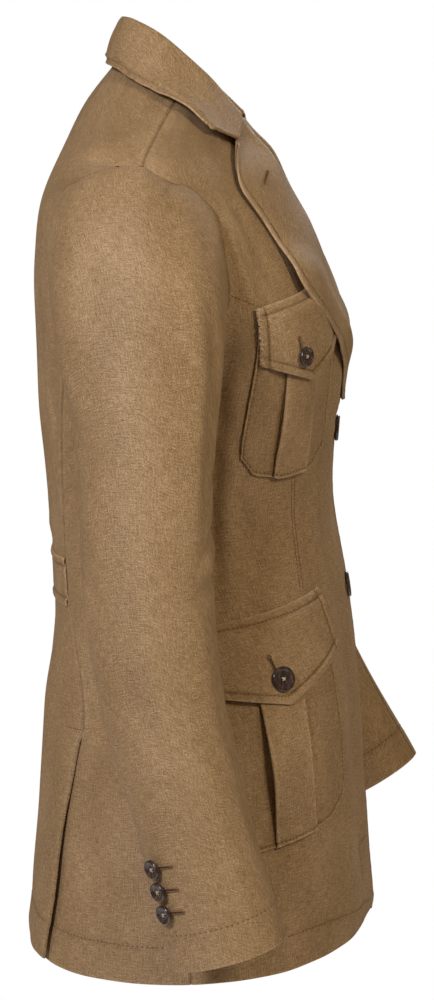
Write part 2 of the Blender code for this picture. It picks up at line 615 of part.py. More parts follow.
def pocket_flap(name, mirror, table, cells=5):
    """A pointed flap that stands off the pocket under it."""
    half = steps(cells)[:-1] / 2
    a = np.concatenate([half, [0.5], 1 - half[::-1]])
    b = np.array([0.0, 0.08, 0.20, 0.55, 0.94, 1.0])
    near, middle, far = (as_angles(table[key]) for key in ("near", "middle", "far"))
    line = np.abs(a - 0.5) * 2
    side = np.where((a < 0.5)[:, None, None], near[None], far[None])
    ends = middle[None] + (side - middle[None]) * line[:, None, None]
    flat = ends[:, :1] + (ends[:, 1:] - ends[:, :1]) * b[None, :, None]
    full = 0.0026 + 0.0026 * ease(1 - line, 0.0, 0.45)
    lift = table["lift"] + full[:, None] * ease(b, 0.0, 0.20)[None, :]
    grid = lifted(flat[..., 0], flat[..., 1], lift)
    return cloth(name, grid, mirror)


def make_half_belt(name):
    """The belt across the back waist between the side-back seams."""
    a, b = steps(13), steps(4)
    turn = 143.0 + (217.0 - 143.0) * a
    height = -0.3570 - 0.0365 * b
    rise = 0.0010 * np.ones((len(a), len(b)))
    grid = lifted(turn[:, None] + 0 * b[None, :], height[None, :] + 0 * a[:, None], rise)
    return cloth(name, grid)


# A button's section from the middle of its face, over the raised rim, to the middle of its back,
# as shares of its radius and thickness.
BUTTON_PROFILE = ((0.0, 0.58), (0.66, 0.66), (0.84, 1.0), (0.97, 0.82), (0.99, 0.34), (0.80, 0.0),
                  (0.0, 0.0))
BUTTON_THICK = 0.0036


def button_mesh(radius):
    """The section of a button of one size, shared by every button of that size."""
    name = "button_" + str(round(radius * 20000))
    mesh = bpy.data.meshes.get(name)
    if mesh is None:
        mesh = bpy.data.meshes.new(name)
        points = [(r * radius, 0.0, h * BUTTON_THICK) for r, h in BUTTON_PROFILE]
        mesh.from_pydata(points, [(k, k + 1) for k in range(len(points) - 1)], [])
    return mesh


def make_button(name, centre, normal, radius):
    """A round button turned about its own axis, with a raised rim round a dished middle."""
    item = placed(name, button_mesh(radius), "button")
    turned = item.modifiers.new("turned", "SCREW")
    turned.axis = "Z"
    turned.steps = 16
    turned.render_steps = 16
    turned.use_merge_vertices = True
    turned.merge_threshold = 0.00001
    item.location = Vector([float(v) for v in centre])
    item.rotation_mode = "QUATERNION"
    item.rotation_quaternion = Vector([float(v) for v in normal]).to_track_quat("Z", "Y")
    return item


def button_on_body(name, mirror, distance, height, lift, radius):
    """A button lying on what is on the body form."""
    angle = angle_at(distance, height)
    sign = np.array([-1.0 if mirror else 1.0, 1.0, 1.0])
    centre = lifted(angle, np.array(height), np.array(lift)) * sign
    return make_button(name, centre, body_normal(angle, np.array(height)) * sign, radius)


def button_on_sleeve(name, mirror, table, share, radius):
    """A cuff button, placed by its distance up from the cuff's lower edge."""
    sign = np.array([-1.0 if mirror else 1.0, 1.0, 1.0])
    height = np.array([table[-1, 0] + share])
    turn = np.array([CUFF_BUTTON_TURN])
    here = sleeve_section(table, height, turn)[0]
    du = sleeve_section(table, height, turn + 1.0)[0] - sleeve_section(table, height, turn - 1.0)[0]
    dh = sleeve_section(table, height + 0.004, turn)[0] - sleeve_section(table, height - 0.004, turn)[0]
    normal = np.cross(du, dh)
    normal /= np.linalg.norm(normal)
    if normal[0] < 0:
        normal = -normal
    return make_button(name, (here + normal * 0.0019) * sign, normal * sign, radius)


def main():
    start(GROUP)
    make_back("back")
    for mirror, side in ((False, "left"), (True, "right")):
        table = SLEEVE_RIGHT if mirror else SLEEVE_LEFT
        make_front("front_" + side, mirror, over=mirror)
        make_side("side_panel_" + side, mirror)
        make_lapel("lapel_" + side, mirror, mirror)
        make_sleeve("upper_sleeve_" + side, mirror, table, BACK_SLEEVE_SEAM, FRONT_SLEEVE_SEAM)
        make_sleeve("under_sleeve_" + side, mirror, table, FRONT_SLEEVE_SEAM, 360 + BACK_SLEEVE_SEAM)
        pocket_patch("chest_pocket_" + side, mirror, CHEST_PATCH)
        pocket_flap("chest_flap_" + side, mirror, CHEST_FLAP)
        pocket_patch("hip_pocket_" + side, mirror, HIP_PATCH)
        pocket_flap("hip_flap_" + side, mirror, HIP_FLAP)
        button_on_body("chest_button_" + side, mirror, *CHEST_BUTTON, 0.0091, 0.0076)
        button_on_body("hip_button_" + side, mirror, *HIP_BUTTON, 0.0082, 0.0097)
        for k, height in enumerate(CUFF_BUTTON_HEIGHTS):
            button_on_sleeve("cuff_button_" + side + "_" + str(k + 1), mirror, table,
                             height - SLEEVE_RIGHT[-1, 0], 0.0074)
    make_collar("collar")
    make_half_belt("half_belt")
    for k, (height, gap) in enumerate(CLOSURE_BUTTONS):
        button_on_body("closure_button_" + str(k + 1), True, 0.0, height,
                       float(lap_lift(0.0, height)) + gap, 0.0105)


main()
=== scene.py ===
"""Safari jacket in tan linen, filled out as worn with nobody in it, laid out as a Blender add-on and
run as a script. Every piece is a surface worked out on a grid, and every cloth piece is a closed shell.
Metres, Z up, the front faces -Y, the wearer's left is +X, the neck points are at Z = 0."""
import math

import bpy
import numpy as np
from bpy.props import FloatProperty, FloatVectorProperty, PointerProperty
from bpy.types import Operator, Panel, PropertyGroup
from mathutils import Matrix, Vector


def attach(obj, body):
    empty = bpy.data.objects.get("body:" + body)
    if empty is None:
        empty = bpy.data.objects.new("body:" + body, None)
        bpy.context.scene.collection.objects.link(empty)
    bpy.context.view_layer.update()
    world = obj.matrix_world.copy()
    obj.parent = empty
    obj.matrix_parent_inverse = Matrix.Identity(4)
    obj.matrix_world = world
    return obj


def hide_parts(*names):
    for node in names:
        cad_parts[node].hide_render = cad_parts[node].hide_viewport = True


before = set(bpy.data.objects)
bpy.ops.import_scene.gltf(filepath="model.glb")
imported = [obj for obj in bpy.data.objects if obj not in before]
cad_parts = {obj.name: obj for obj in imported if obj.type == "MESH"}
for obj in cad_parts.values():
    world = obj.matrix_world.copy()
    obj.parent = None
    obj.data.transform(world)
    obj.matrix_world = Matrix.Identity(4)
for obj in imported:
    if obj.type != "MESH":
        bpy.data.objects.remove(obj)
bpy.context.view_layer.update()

bl_info = {
    "name": "Safari Jacket",
    "version": (1, 0, 0),
    "blender": (4, 5, 0),
    "location": "3D View > Sidebar > Jacket",
    "description": "Builds a linen safari jacket piece by piece, with its sewing, buttons and stage",
    "category": "Add Mesh",
}

# The body form: one row per level, from the hem to the neck seam. An angle goes round it from
# 0 at the centre front to 90 at the side and 180 at the centre back.
# Columns: side_height, front_height, back_height, front_depth, side_depth, back_depth,
# half_width, front_square, back_square.
FORM = np.array([
    (-0.668, -0.674, -0.680, -0.1255, 0.008, 0.1530, 0.213, 0.030, 0.030),
    (-0.560, -0.565, -0.569, -0.1170, 0.010, 0.1405, 0.206, 0.030, 0.030),
    (-0.470, -0.473, -0.476, -0.1110, 0.012, 0.1350, 0.193, 0.030, 0.030),
    (-0.400, -0.402, -0.405, -0.1020, 0.015, 0.1281, 0.172, 0.030, 0.030),
    (-0.320, -0.322, -0.324, -0.0895, 0.020, 0.1336, 0.151, 0.035, 0.035),
    (-0.250, -0.253, -0.250, -0.0925, 0.025, 0.1387, 0.162, 0.040, 0.040),
    (-0.195, -0.200, -0.188, -0.0960, 0.031, 0.1395, 0.175, 0.045, 0.050),
    (-0.140, -0.150, -0.128, -0.0855, 0.035, 0.1385, 0.184, 0.030, 0.060),
    (-0.095, -0.112, -0.083, -0.0735, 0.040, 0.1320, 0.190, -0.010, 0.055),
    (-0.056, -0.083, -0.045, -0.0600, 0.043, 0.1165, 0.197, -0.055, 0.030),
    (-0.027, -0.062, -0.012, -0.0475, 0.033, 0.1012, 0.138, -0.050, 0.000),
    (0.000, -0.044, 0.016, -0.0355, 0.020, 0.0795, 0.075, -0.020, 0.000),
])

# Seam lines on the form, as (angle, side height).
HEM_LINE = ((0.0, -0.6495), (15.0, -0.6500), (26.0, -0.6507), (48.0, -0.6532), (68.0, -0.6588),
            (90.0, -0.6630), (112.0, -0.6625), (128.0, -0.6600), (147.0, -0.6545), (165.0, -0.6495),
            (180.0, -0.6470))
SIDE_SEAM = ((90.0, -0.6630), (90.0, -0.190))
ARMHOLE_FRONT = ((90.0, -0.190), (81.0, -0.1865), (73.0, -0.172), (68.2, -0.151), (66.8, -0.134),
                 (64.2, -0.105), (63.0, -0.086), (66.5, -0.0730), (77.0, -0.0672), (90.0, -0.0575))
ARMHOLE_BACK = ((90.0, -0.190), (101.0, -0.187), (112.0, -0.174), (122.0, -0.152), (130.0, -0.122),
                (133.5, -0.102), (131.5, -0.085), (121.0, -0.0700), (106.0, -0.0585), (90.0, -0.0575))
SIDE_BACK_SEAM = ((137.5, -0.6570), (136.0, -0.610), (134.0, -0.550), (131.0, -0.510),
                  (128.8, -0.477), (131.0, -0.443), (136.7, -0.410), (141.5, -0.392),
                  (143.0, -0.365), (141.5, -0.330), (138.0, -0.285), (132.0, -0.230),
                  (126.0, -0.190), (121.7, -0.1525))
VENT_TOP = -0.4835
# Lines given as (distance round from the centre front, side height).
FRONT_EDGE = ((0.028, -0.6508), (0.006, -0.6480), (-0.011, -0.6375), (-0.018, -0.6200),
              (-0.020, -0.5950), (-0.020, -0.420), (-0.020, -0.254))
ROLL_LINE = ((-0.020, -0.254), (-0.007, -0.209), (0.010, -0.164), (0.029, -0.114), (0.047, -0.066),
             (0.063, -0.028), (0.0765, -0.008))
LAPEL_EDGE = ((-0.012, -0.250), (0.0264, -0.2229), (0.0456, -0.2077), (0.0701, -0.1918),
              (0.0890, -0.1801), (0.1033, -0.1694), (0.1178, -0.1584), (0.1264, -0.1485),
              (0.1305, -0.1393), (0.1307, -0.1240), (0.1305, -0.1070), (0.1340, -0.0913),
              (0.1414, -0.0765), (0.1460, -0.0680), (0.1448, -0.0590), (0.1373, -0.0505),
              (0.1246, -0.0407), (0.1080, -0.0302))
NECK_FRONT = ((49.0, -0.0080), (60.0, -0.0030), (74.0, -0.0004), (90.0, 0.0))
SHOULDER = ((90.0, 0.0), (90.0, -0.0575))

# The collar's fold, as points from the gorge to the nape, and its outer edge and foot on the form.
COLLAR_FOLD = ((0.0712, -0.0190, -0.0236), (0.0750, -0.0095, -0.0135), (0.0770, 0.0040, 0.0009),
               (0.0735, 0.0230, 0.0184), (0.0600, 0.0445, 0.0360), (0.0340, 0.0650, 0.0480),
               (0.0000, 0.0725, 0.0505))
COLLAR_EDGE = ((64.5, -0.0300), (78.0, -0.0225), (94.0, -0.0145), (118.0, -0.0070),
               (136.0, -0.0050), (158.0, -0.0050), (180.0, -0.0055))
COLLAR_NOTCH = (0.1065, -0.0295)
COLLAR_FOOT = ((53.0, -0.0062), (62.0, -0.0045), (76.0, -0.0028), (90.0, -0.0024), (118.0, -0.0022),
               (150.0, -0.0022), (180.0, -0.0022))

# Sleeves, one row per section: height, depth, side, half_depth, half_side, lean of the section.
SLEEVE_RIGHT = np.array([
    (-0.205, 0.0415, 0.2310, 0.0575, 0.0490, 2.0),
    (-0.250, 0.0385, 0.2390, 0.0508, 0.0470, 3.0),
    (-0.300, 0.0380, 0.2470, 0.0480, 0.0450, 4.0),
    (-0.350, 0.0362, 0.2540, 0.0470, 0.0430, 6.0),
    (-0.400, 0.0312, 0.2600, 0.0460, 0.0410, 9.0),
    (-0.450, 0.0222, 0.2640, 0.0437, 0.0390, 12.0),
    (-0.500, 0.0087, 0.2660, 0.0425, 0.0370, 14.0),
    (-0.550, -0.0039, 0.2670, 0.0415, 0.0350, 15.0),
    (-0.620, -0.0225, 0.2670, 0.0432, 0.0340, 16.0),
])
SLEEVE_LEFT = np.array([
    (-0.205, 0.0380, 0.2310, 0.0575, 0.0490, 4.0),
    (-0.250, 0.0310, 0.2390, 0.0508, 0.0470, 8.0),
    (-0.300, 0.0210, 0.2460, 0.0480, 0.0450, 12.0),
    (-0.350, 0.0070, 0.2500, 0.0470, 0.0430, 17.0),
    (-0.400, -0.0120, 0.2515, 0.0460, 0.0410, 22.0),
    (-0.450, -0.0350, 0.2505, 0.0437, 0.0390, 25.0),
    (-0.500, -0.0640, 0.2490, 0.0425, 0.0370, 28.0),
    (-0.550, -0.0920, 0.2460, 0.0415, 0.0350, 30.0),
    (-0.6160, -0.1275, 0.2420, 0.0432, 0.0340, 31.0),
])
SLEEVES = {1: SLEEVE_LEFT, -1: SLEEVE_RIGHT}
# Turns of the sleeve seams, as below.
FRONT_SLEEVE_SEAM = 105.0
BACK_SLEEVE_SEAM = -105.0

# Pockets: corners as (distance round from the centre front, side height), the pleat's two edges as
# shares of the width at the top and the foot, and how far it stands off, lies off and opens.
CHEST_PATCH = {
    "near": ((0.0810, -0.1560), (0.0781, -0.1985), (0.0745, -0.2506), (0.0770, -0.2720)),
    "foot": ((0.0770, -0.2720), (0.0990, -0.2868), (0.1380, -0.2908), (0.1600, -0.2885),
             (0.1725, -0.2750)),
    "far": ((0.1780, -0.1745), (0.1800, -0.2085), (0.1755, -0.2600), (0.1725, -0.2750)),
    "pleat": (0.325, 0.715), "pleat_foot": (0.325, 0.715), "depth": 0.12, "rise": 0.0026,
    "lift": 0.0021, "open": 0.0034,
}
CHEST_FLAP = {
    "near": ((0.0760, -0.1365), (0.0722, -0.1865)), "middle": ((0.1272, -0.1485), (0.1315, -0.2142)),
    "far": ((0.1785, -0.1602), (0.1769, -0.2030)), "width": 0.105, "lift": 0.0025,
}
HIP_PATCH = {
    "near": ((0.1100, -0.3960), (0.1116, -0.4435), (0.1146, -0.5250)),
    "foot": ((0.1146, -0.5250), (0.1190, -0.5380), (0.1409, -0.5494), (0.1606, -0.5529),
             (0.2046, -0.5613), (0.2560, -0.5715), (0.2750, -0.5580)),
    "far": ((0.2540, -0.4180), (0.2610, -0.4600), (0.2750, -0.5580)),
    "pleat": (0.300, 0.595), "pleat_foot": (0.277, 0.535), "depth": 0.16, "rise": 0.0028,
    "lift": 0.0021, "open": 0.0085,
}
HIP_FLAP = {
    "near": ((0.1075, -0.3795), (0.0990, -0.4265)), "middle": ((0.1845, -0.3935), (0.1778, -0.4587)),
    "far": ((0.2615, -0.4065), (0.2580, -0.4480)), "width": 0.155, "lift": 0.0020,
}
# Buttons: closure buttons as (side height, gap to the cloth), the others as (distance, side height).
CLOSURE_BUTTONS = ((-0.268, 0.0004), (-0.3955, -0.0008))
CHEST_BUTTON = (0.1438, -0.1966)
HIP_BUTTON = (0.1796, -0.4402)
CUFF_BUTTON_HEIGHTS = (-0.5438, -0.5603, -0.5768)
CUFF_BUTTON_TURN = -51.0
CUFF_HOLE_TURN = -38.0

# Soft folds of the body on each side, as (angle, height) to (angle, height), half width in
# metres and height in metres, minus for a trough. Each is a bump that fades out at its ends.
BODY_FOLDS = (
    (151.0, -0.100, 149.0, -0.330, 0.013, -0.0022),
    (160.0, -0.120, 158.0, -0.300, 0.016, 0.0006),
    (147.5, -0.176, 141.0, -0.262, 0.0045, -0.0040),
    (69.5, -0.165, 79.5, -0.390, 0.0100, -0.0085),
    (113.0, -0.196, 138.0, -0.335, 0.008, -0.0026),
    (104.0, -0.205, 122.0, -0.320, 0.009, 0.0018),
    (128.0, -0.190, 146.0, -0.285, 0.007, -0.0012),
    (147.0, -0.300, 168.0, -0.352, 0.006, -0.0012),
    (152.0, -0.325, 171.0, -0.345, 0.005, 0.0008),
    (150.0, -0.405, 156.0, -0.640, 0.020, 0.0026),
    (166.0, -0.400, 168.0, -0.630, 0.015, -0.0024),
    (123.0, -0.395, 119.0, -0.655, 0.019, -0.0026),
    (104.0, -0.380, 101.0, -0.650, 0.021, 0.0028),
    (84.0, -0.560, 80.0, -0.655, 0.015, -0.0016),
    (62.0, -0.565, 60.0, -0.650, 0.017, 0.0016),
    (34.0, -0.300, 37.0, -0.375, 0.006, -0.0009),
    (24.0, -0.290, 21.0, -0.380, 0.009, 0.0008),
    (26.0, -0.420, 23.0, -0.640, 0.018, 0.0018),
    (13.0, -0.430, 12.0, -0.620, 0.012, -0.0013),
    (60.5, -0.098, 58.5, -0.165, 0.0065, 0.0020),
    (52.0, -0.070, 48.0, -0.150, 0.0100, -0.0014),
    (78.0, -0.205, 66.0, -0.285, 0.008, -0.0018),
    (84.0, -0.225, 74.0, -0.330, 0.010, 0.0014),
    (70.0, -0.300, 60.0, -0.372, 0.008, -0.0012),
    (4.0, -0.268, 24.0, -0.258, 0.005, 0.0006),
    (4.0, -0.274, 22.0, -0.288, 0.005, -0.0006),
    (4.0, -0.396, 20.0, -0.408, 0.006, -0.0006),
    (112.0, -0.050, 138.0, -0.058, 0.008, 0.0009),
    (100.0, -0.030, 128.0, -0.035, 0.009, -0.0008),
)

# Soft folds of a sleeve, as (turn, z) to (turn, z), half width and height as above. Turn 0 is
# the outer side, 90 the front and -90 the back.
SLEEVE_FOLDS = (
    (60.0, -0.150, 66.0, -0.315, 0.0085, -0.0022),
    (42.0, -0.135, 49.0, -0.330, 0.0120, 0.0013),
    (112.0, -0.300, 52.0, -0.332, 0.0060, -0.0016),
    (116.0, -0.338, 46.0, -0.356, 0.0065, -0.0014),
    (108.0, -0.268, 64.0, -0.284, 0.0055, -0.0010),
    (110.0, -0.318, 58.0, -0.344, 0.0060, 0.0009),
    (-98.0, -0.196, -62.0, -0.262, 0.0060, -0.0022),
    (-112.0, -0.230, -70.0, -0.300, 0.0065, -0.0014),
    (-84.0, -0.180, -50.0, -0.230, 0.0075, 0.0012),
    (-74.0, -0.290, -26.0, -0.338, 0.0100, 0.0010),
    (-80.0, -0.330, -40.0, -0.372, 0.0080, -0.0011),
    (-34.0, -0.390, 6.0, -0.560, 0.0120, -0.0012),
    (18.0, -0.410, 34.0, -0.590, 0.0110, 0.0012),
    (66.0, -0.400, 78.0, -0.560, 0.0090, -0.0010),
    (-10.0, -0.110, -4.0, -0.300, 0.0160, 0.0008),
    (-40.0, -0.095, -30.0, -0.180, 0.0090, -0.0010),
    (150.0, -0.230, 128.0, -0.330, 0.0070, -0.0016),
    (180.0, -0.210, 150.0, -0.290, 0.0080, 0.0014),
    (205.0, -0.240, 225.0, -0.340, 0.0080, -0.0014),
    (170.0, -0.380, 190.0, -0.520, 0.0100, -0.0012),
)

# Sewn lines on the fronts, as (distance, side height) from and to: the dart below the chest
# pocket, the bust dart towards the armhole, and the corner of the front facing.
DART_ROWS = (
    ((0.1175, -0.2925), (0.1255, -0.3780)),
    ((0.1215, -0.2925), (0.1290, -0.3770)),
    ((0.1960, -0.1505), (0.1790, -0.1572)),
    ((0.0580, -0.5930), (0.0540, -0.6220)),
    ((0.0580, -0.5930), (0.0300, -0.5900)),
)

# Each side as (word, side), where side is 1 on the wearer's left and -1 on the right.
SIDES = (("left", 1), ("right", -1))
BORDERS = ("near", "far", "low", "high")
# How far the right side of the neck opening stands forward and up of the left side, by half.
NECK_SWING = np.array([0.0, 0.0036, -0.0016])
# Grid lines close to a border, by their distance from it.
EDGE_STEPS = (0.0, 0.0004, 0.0010, 0.0019, 0.0031, 0.0045, 0.0058, 0.0066, 0.0075, 0.0090)
# Length that stands for a degree: in tables of (angle, height), in folds of the body and of a
# sleeve, and in the back's lap.
DEGREE, BODY_DEGREE, SLEEVE_DEGREE, LAP_DEGREE = 0.0032, 0.0029, 0.00092, 0.0034
# How much the fold tables are deepened, and by side how far the folds lie lower and their share.
BODY_FOLD_DEPTH, SLEEVE_FOLD_DEPTH = 1.5, 1.6
BODY_FOLD_SIDES = {-1: (0.0, 1.0), 1: (0.007, 0.85)}
SLEEVE_FOLD_SIDES = {-1: (0.0, 1.0), 1: (0.006, 0.9)}
# The top of the collar's fall, as steps outward and up from the fold, where the lapel meets it.
FALL_TOP = (0.0022, -0.0016)
# How far round the back armhole the side panel ends and the back begins.
ARMHOLE_NODE = 4 / 12
# Half the gap between two pieces at a seam.
SEAM_GAP = 0.00004
# From the edge of a patch pocket to its row of stitches.
PATCH_STITCH = 0.0024
POCKET_WALL, FLAP_WALL, BELT_WALL = 0.0012, 0.0015, 0.0011
# The half belt: its first and last angle, its upper edge's height and its width.
BELT = (143.0, 217.0, -0.3570, 0.0365)
# A button's thickness, the step from its middle to a hole across and along, and a hole's radius.
BUTTON_THICK, HOLE_STEP, HOLE_RADIUS = 0.0036, 0.0019 / 1.41, 0.00095
# The turn of a lapel over the roll line, as steps outward and up, and up by the roll's size.
LAPEL_TURN = ((-0.0023, -0.0008, 0.0), (-0.0027, 0.0003, 0.0), (-0.0024, 0.0006, 0.0017),
              (-0.0010, 0.0008, 0.0031), (0.0016, 0.0010, 0.0040))
# A button's section from its back to the rim of its middle, as (share of radius, of thickness).
BUTTON_SECTION = ((0.0, 0.0), (0.55, 0.0), (0.80, 0.02), (0.93, 0.16), (0.99, 0.36), (1.0, 0.52),
                  (0.985, 0.74), (0.95, 0.90), (0.89, 0.98), (0.82, 1.0), (0.75, 0.93),
                  (0.68, 0.76), (0.60, 0.66), (0.52, 0.62))

# The cloth pieces made so far: each one's shaped grid, outward directions and grid before shaping.
MADE = {}


def linear(code):
    """An sRGB hex code as linear red, green and blue: c / 12.92 up to 0.04045, else a power of 2.4."""
    parts = [int(code[i:i + 2], 16) / 255 for i in (1, 3, 5)]
    return tuple(c / 12.92 if c <= 0.04045 else ((c + 0.055) / 1.055) ** 2.4 for c in parts)


def length(name, description, default, low, high):
    """A size in metres, with its limits."""
    return FloatProperty(name=name, description=description, default=default, min=low, max=high,
                         unit="LENGTH")


def colour(name, description, code):
    """A colour, from its hex code."""
    return FloatVectorProperty(name=name, description=description, subtype="COLOR", size=3,
                               min=0.0, max=1.0, default=linear(code))


class JacketSizes(PropertyGroup):
    """Sizes that a tailor would change."""
    wall: length("Cloth", "Thickness of one layer of linen with its turning", 0.0011, 0.0005, 0.003)
    faced_wall: length("Faced cloth", "Thickness of a faced edge, such as a lapel", 0.0018, 0.0008, 0.004)
    seam_sink: length("Seam sink", "How far a seam line dips below the cloth", 0.0009, 0.0, 0.002)
    topstitch: length("Topstitch", "From a turned edge to its row of stitches", 0.0065, 0.002, 0.012)
    hem: length("Hem", "Depth of the hem and of the cuff turning", 0.028, 0.01, 0.05)
    stitch: length("Stitch", "Length from one stitch to the next", 0.0034, 0.002, 0.006)
    closure_radius: length("Closure button", "Radius of the front buttons", 0.0105, 0.006, 0.015)
    hip_radius: length("Hip button", "Radius of the hip flap buttons", 0.0097, 0.006, 0.015)
    chest_radius: length("Chest button", "Radius of the chest flap buttons", 0.0076, 0.005, 0.012)
    cuff_radius: length("Cuff button", "Radius of the cuff buttons", 0.0074, 0.005, 0.012)


class JacketColours(PropertyGroup):
    """Colours of the cloth, the sewing, the buttons and the stage."""
    linen: colour("Linen", "Colour of the linen", "#99774D")
    # The slub and gap colours also give the painted highlight and painted shade of edges, seams, stitch rows
    # and pleats.
    linen_light: colour("Linen slub", "Colour of its thick pale yarns", "#BE9C73")
    linen_dark: colour("Linen gap", "Colour between its yarns", "#6E5230")
    thread: colour("Thread", "Colour of the topstitching", "#755631")
    cream: colour("Button thread", "Colour of the thread in the buttons", "#CDBB9C")
    button: colour("Button", "Dark brown of the buttons", "#2C1D18")
    button_pale: colour("Button streak", "Paler streaks in the buttons", "#6E5044")
    floor: colour("Floor", "Pale floor", "#F2F1EE")


def smooth(x, xs, ys):
    """A cubic through the points (xs, ys) whose slope at each is the width-weighted mean beside it."""
    xs, ys, x = (np.asarray(v, float) for v in (xs, ys, x))
    widths = np.diff(xs)
    slopes = np.diff(ys) / widths
    m = np.empty_like(ys)
    m[0], m[-1] = slopes[0], slopes[-1]
    m[1:-1] = (slopes[:-1] * widths[1:] + slopes[1:] * widths[:-1]) / (widths[1:] + widths[:-1])
    i = np.clip(np.searchsorted(xs, x, side="right") - 1, 0, len(xs) - 2)
    w = xs[i + 1] - xs[i]
    t = (x - xs[i]) / w
    return ((2 * t**3 - 3 * t**2 + 1) * ys[i] + (t**3 - 2 * t**2 + t) * w * m[i]
            + (3 * t**2 - 2 * t**3) * ys[i + 1] + (t**3 - t**2) * w * m[i + 1])


def ease(x, low, high):
    """0 up to low, 1 from high, and t * t * (3 - 2 t) between."""
    t = np.clip((np.asarray(x, float) - low) / (high - low), 0.0, 1.0)
    return t * t * (3 - 2 * t)


def bell(x, middle, width):
    """e to the minus square of (x - middle) / width."""
    return np.exp(-((x - middle) / width) ** 2)


def unit(v):
    """Vectors divided by their lengths."""
    return v / np.maximum(np.linalg.norm(v, axis=-1, keepdims=True), 1e-12)


def as_pair(first, second):
    """Two values as float arrays of one shape."""
    return np.broadcast_arrays(np.asarray(first, float), np.asarray(second, float))


def running(points):
    """The running length from the first row of points to each row."""
    steps = np.linalg.norm(np.diff(points, axis=0), axis=-1)
    return np.concatenate([np.zeros((1,) + steps.shape[1:]), np.cumsum(steps, axis=0)])


def read_off(t, run, table):
    """The columns of a table at places t of its run, by straight lines."""
    return np.stack([np.interp(t, run, column) for column in table.T], -1)


def read_smooth(t, run, table):
    """The columns of a table at places t of its run, by cubics."""
    return np.stack([smooth(t, run, column) for column in table.T], -1)


def mirror(side):
    """The factors that take a place on the left half to a side: x changes sign on the right."""
    return np.array([side, 1.0, 1.0])


def body(angle, height):
    """The body form: at each level a squared ellipse, half width times (sin t + k sin 3t) across and
    depth times (cos t - k cos 3t) along, whose rim rises or falls with the cosine squared."""
    angle, height = as_pair(angle, height)
    t = np.radians(angle)
    front_z, back_z, front_y, side_y, back_y, half, front_sq, back_sq = (
        smooth(height, FORM[:, 0], FORM[:, j]) for j in range(1, 9))
    c, s = np.cos(t), np.sin(t)
    square = np.where(c > 0, front_sq, back_sq)
    forward = (c - square * np.cos(3 * t)) / (1 - square)
    across = (s + square * np.sin(3 * t)) / (1 - square)
    y = side_y - np.where(c > 0, side_y - front_y, back_y - side_y) * forward
    z = height + np.where(c > 0, front_z - height, back_z - height) * c**2
    return np.stack([half * across, y, z], -1)


def body_normal(angle, height):
    """The outward direction of the form: the cross product of its two small steps."""
    angle, height = as_pair(angle, height)
    low, high = (np.clip(height + step, FORM[0, 0], FORM[-1, 0]) for step in (-0.0008, 0.0008))
    return unit(np.cross(body(angle + 0.4, height) - body(angle - 0.4, height),
                         body(angle, high) - body(angle, low)))


def crease(turn, height, row, degree):
    """One soft fold: depth times exp(-(distance from its bowed line / width) squared), faded with
    a smooth step over its first and last third."""
    turn0, height0, turn1, height1, width, depth = row
    ax, ay = (turn1 - turn0) * degree, height1 - height0
    reach = math.hypot(ax, ay)
    dx, dy = (turn - turn0) * degree, height - height0
    t = (dx * ax + dy * ay) / reach**2
    bow = 0.035 * reach * np.sin(math.pi * np.clip(t, 0, 1))
    across = (dx * ay - dy * ax) / reach + bow
    return depth * bell(across, 0.0, width) * ease(t, -0.12, 0.30) * (1 - ease(t, 0.66, 1.14))


def relief(angle, height, side):
    """The body's folds and its gentle unevenness: the sum of the fold table and three long waves.
    The left side has the same folds a little lower and softer. All fade to nothing at the centre."""
    angle, height = as_pair(angle, height)
    shift, share = BODY_FOLD_SIDES[side]
    total = BODY_FOLD_DEPTH * share * sum(crease(angle, height + shift, row, BODY_DEGREE)
                                          for row in BODY_FOLDS)
    total += 0.00035 * np.sin(angle * 0.19 + height * 23.0 + 1.3 * side)
    total += 0.00025 * np.sin(angle * 0.41 - height * 41.0)
    total += 0.00020 * np.sin(angle * 0.13 + height * 87.0 + 2.0)
    return total * ease(180.0 - angle, 0.0, 9.0) * ease(angle, -16.0, 6.0)


def lifted(angle, height, lift, side=1):
    """A point on the form, moved outward by the lift and the folds there, on either side. Round the
    neck opening the right side swings forward and the left side back by the same step, which fades
    out over 30 degrees from the roll line."""
    angle, height = as_pair(angle, height)
    past = angle - np.interp(height, ROLL_PLACES[:, 1], ROLL_PLACES[:, 0])
    swing = 0.5 * ease(height, -0.235, -0.170) + 0.5 * ease(height, -0.030, -0.010)
    swing = swing * (1 - ease(past, 0.0, 30.0))
    point = (body(angle, height)
             + body_normal(angle, height) * (np.asarray(lift) + relief(angle, height, side))[..., None]
             + NECK_SWING * (side * swing)[..., None])
    return point * mirror(side)


def on_form(flat, lift, side):
    """A grid of (angle, height) laid on the form at a lift, and its outward directions."""
    angle, height = flat[..., 0], flat[..., 1]
    return lifted(angle, height, lift, side), body_normal(angle, height) * mirror(side)


def angle_at(distance, height):
    """The angle whose distance round the form from the centre front is given, by linear look-up in
    the running length of 180 chords of each level, the 30th of which ends at the centre front."""
    distance, height = as_pair(distance, height)
    d = distance.ravel()
    angles = np.linspace(-30.0, 150.0, 181)
    run = running(body(angles[:, None], height.ravel()[None, :])).T
    run -= run[:, 30:31]
    k = np.clip((run < d[:, None]).sum(axis=1) - 1, 0, 179)[:, None]
    low = np.take_along_axis(run, k, 1)[:, 0]
    high = np.take_along_axis(run, k + 1, 1)[:, 0]
    share = np.clip((d - low) / (high - low), 0.0, 1.0)
    return (angles[k[:, 0]] + share * (angles[1] - angles[0])).reshape(distance.shape)


def distance_at(angle, height):
    """How far round the form an angle is from the centre front, over 60 chords."""
    angle, height = as_pair(angle, height)
    share = np.linspace(0.0, 1.0, 61).reshape((61,) + (1,) * angle.ndim)
    return np.sign(angle) * running(body(angle * share, height + 0 * share))[-1]


def as_angles(points):
    """A table of (distance, height) as (angle, height)."""
    p = np.array(points, float)
    return np.stack([angle_at(p[:, 0], p[:, 1]), p[:, 1]], 1)


ROLL_PLACES = as_angles(ROLL_LINE)


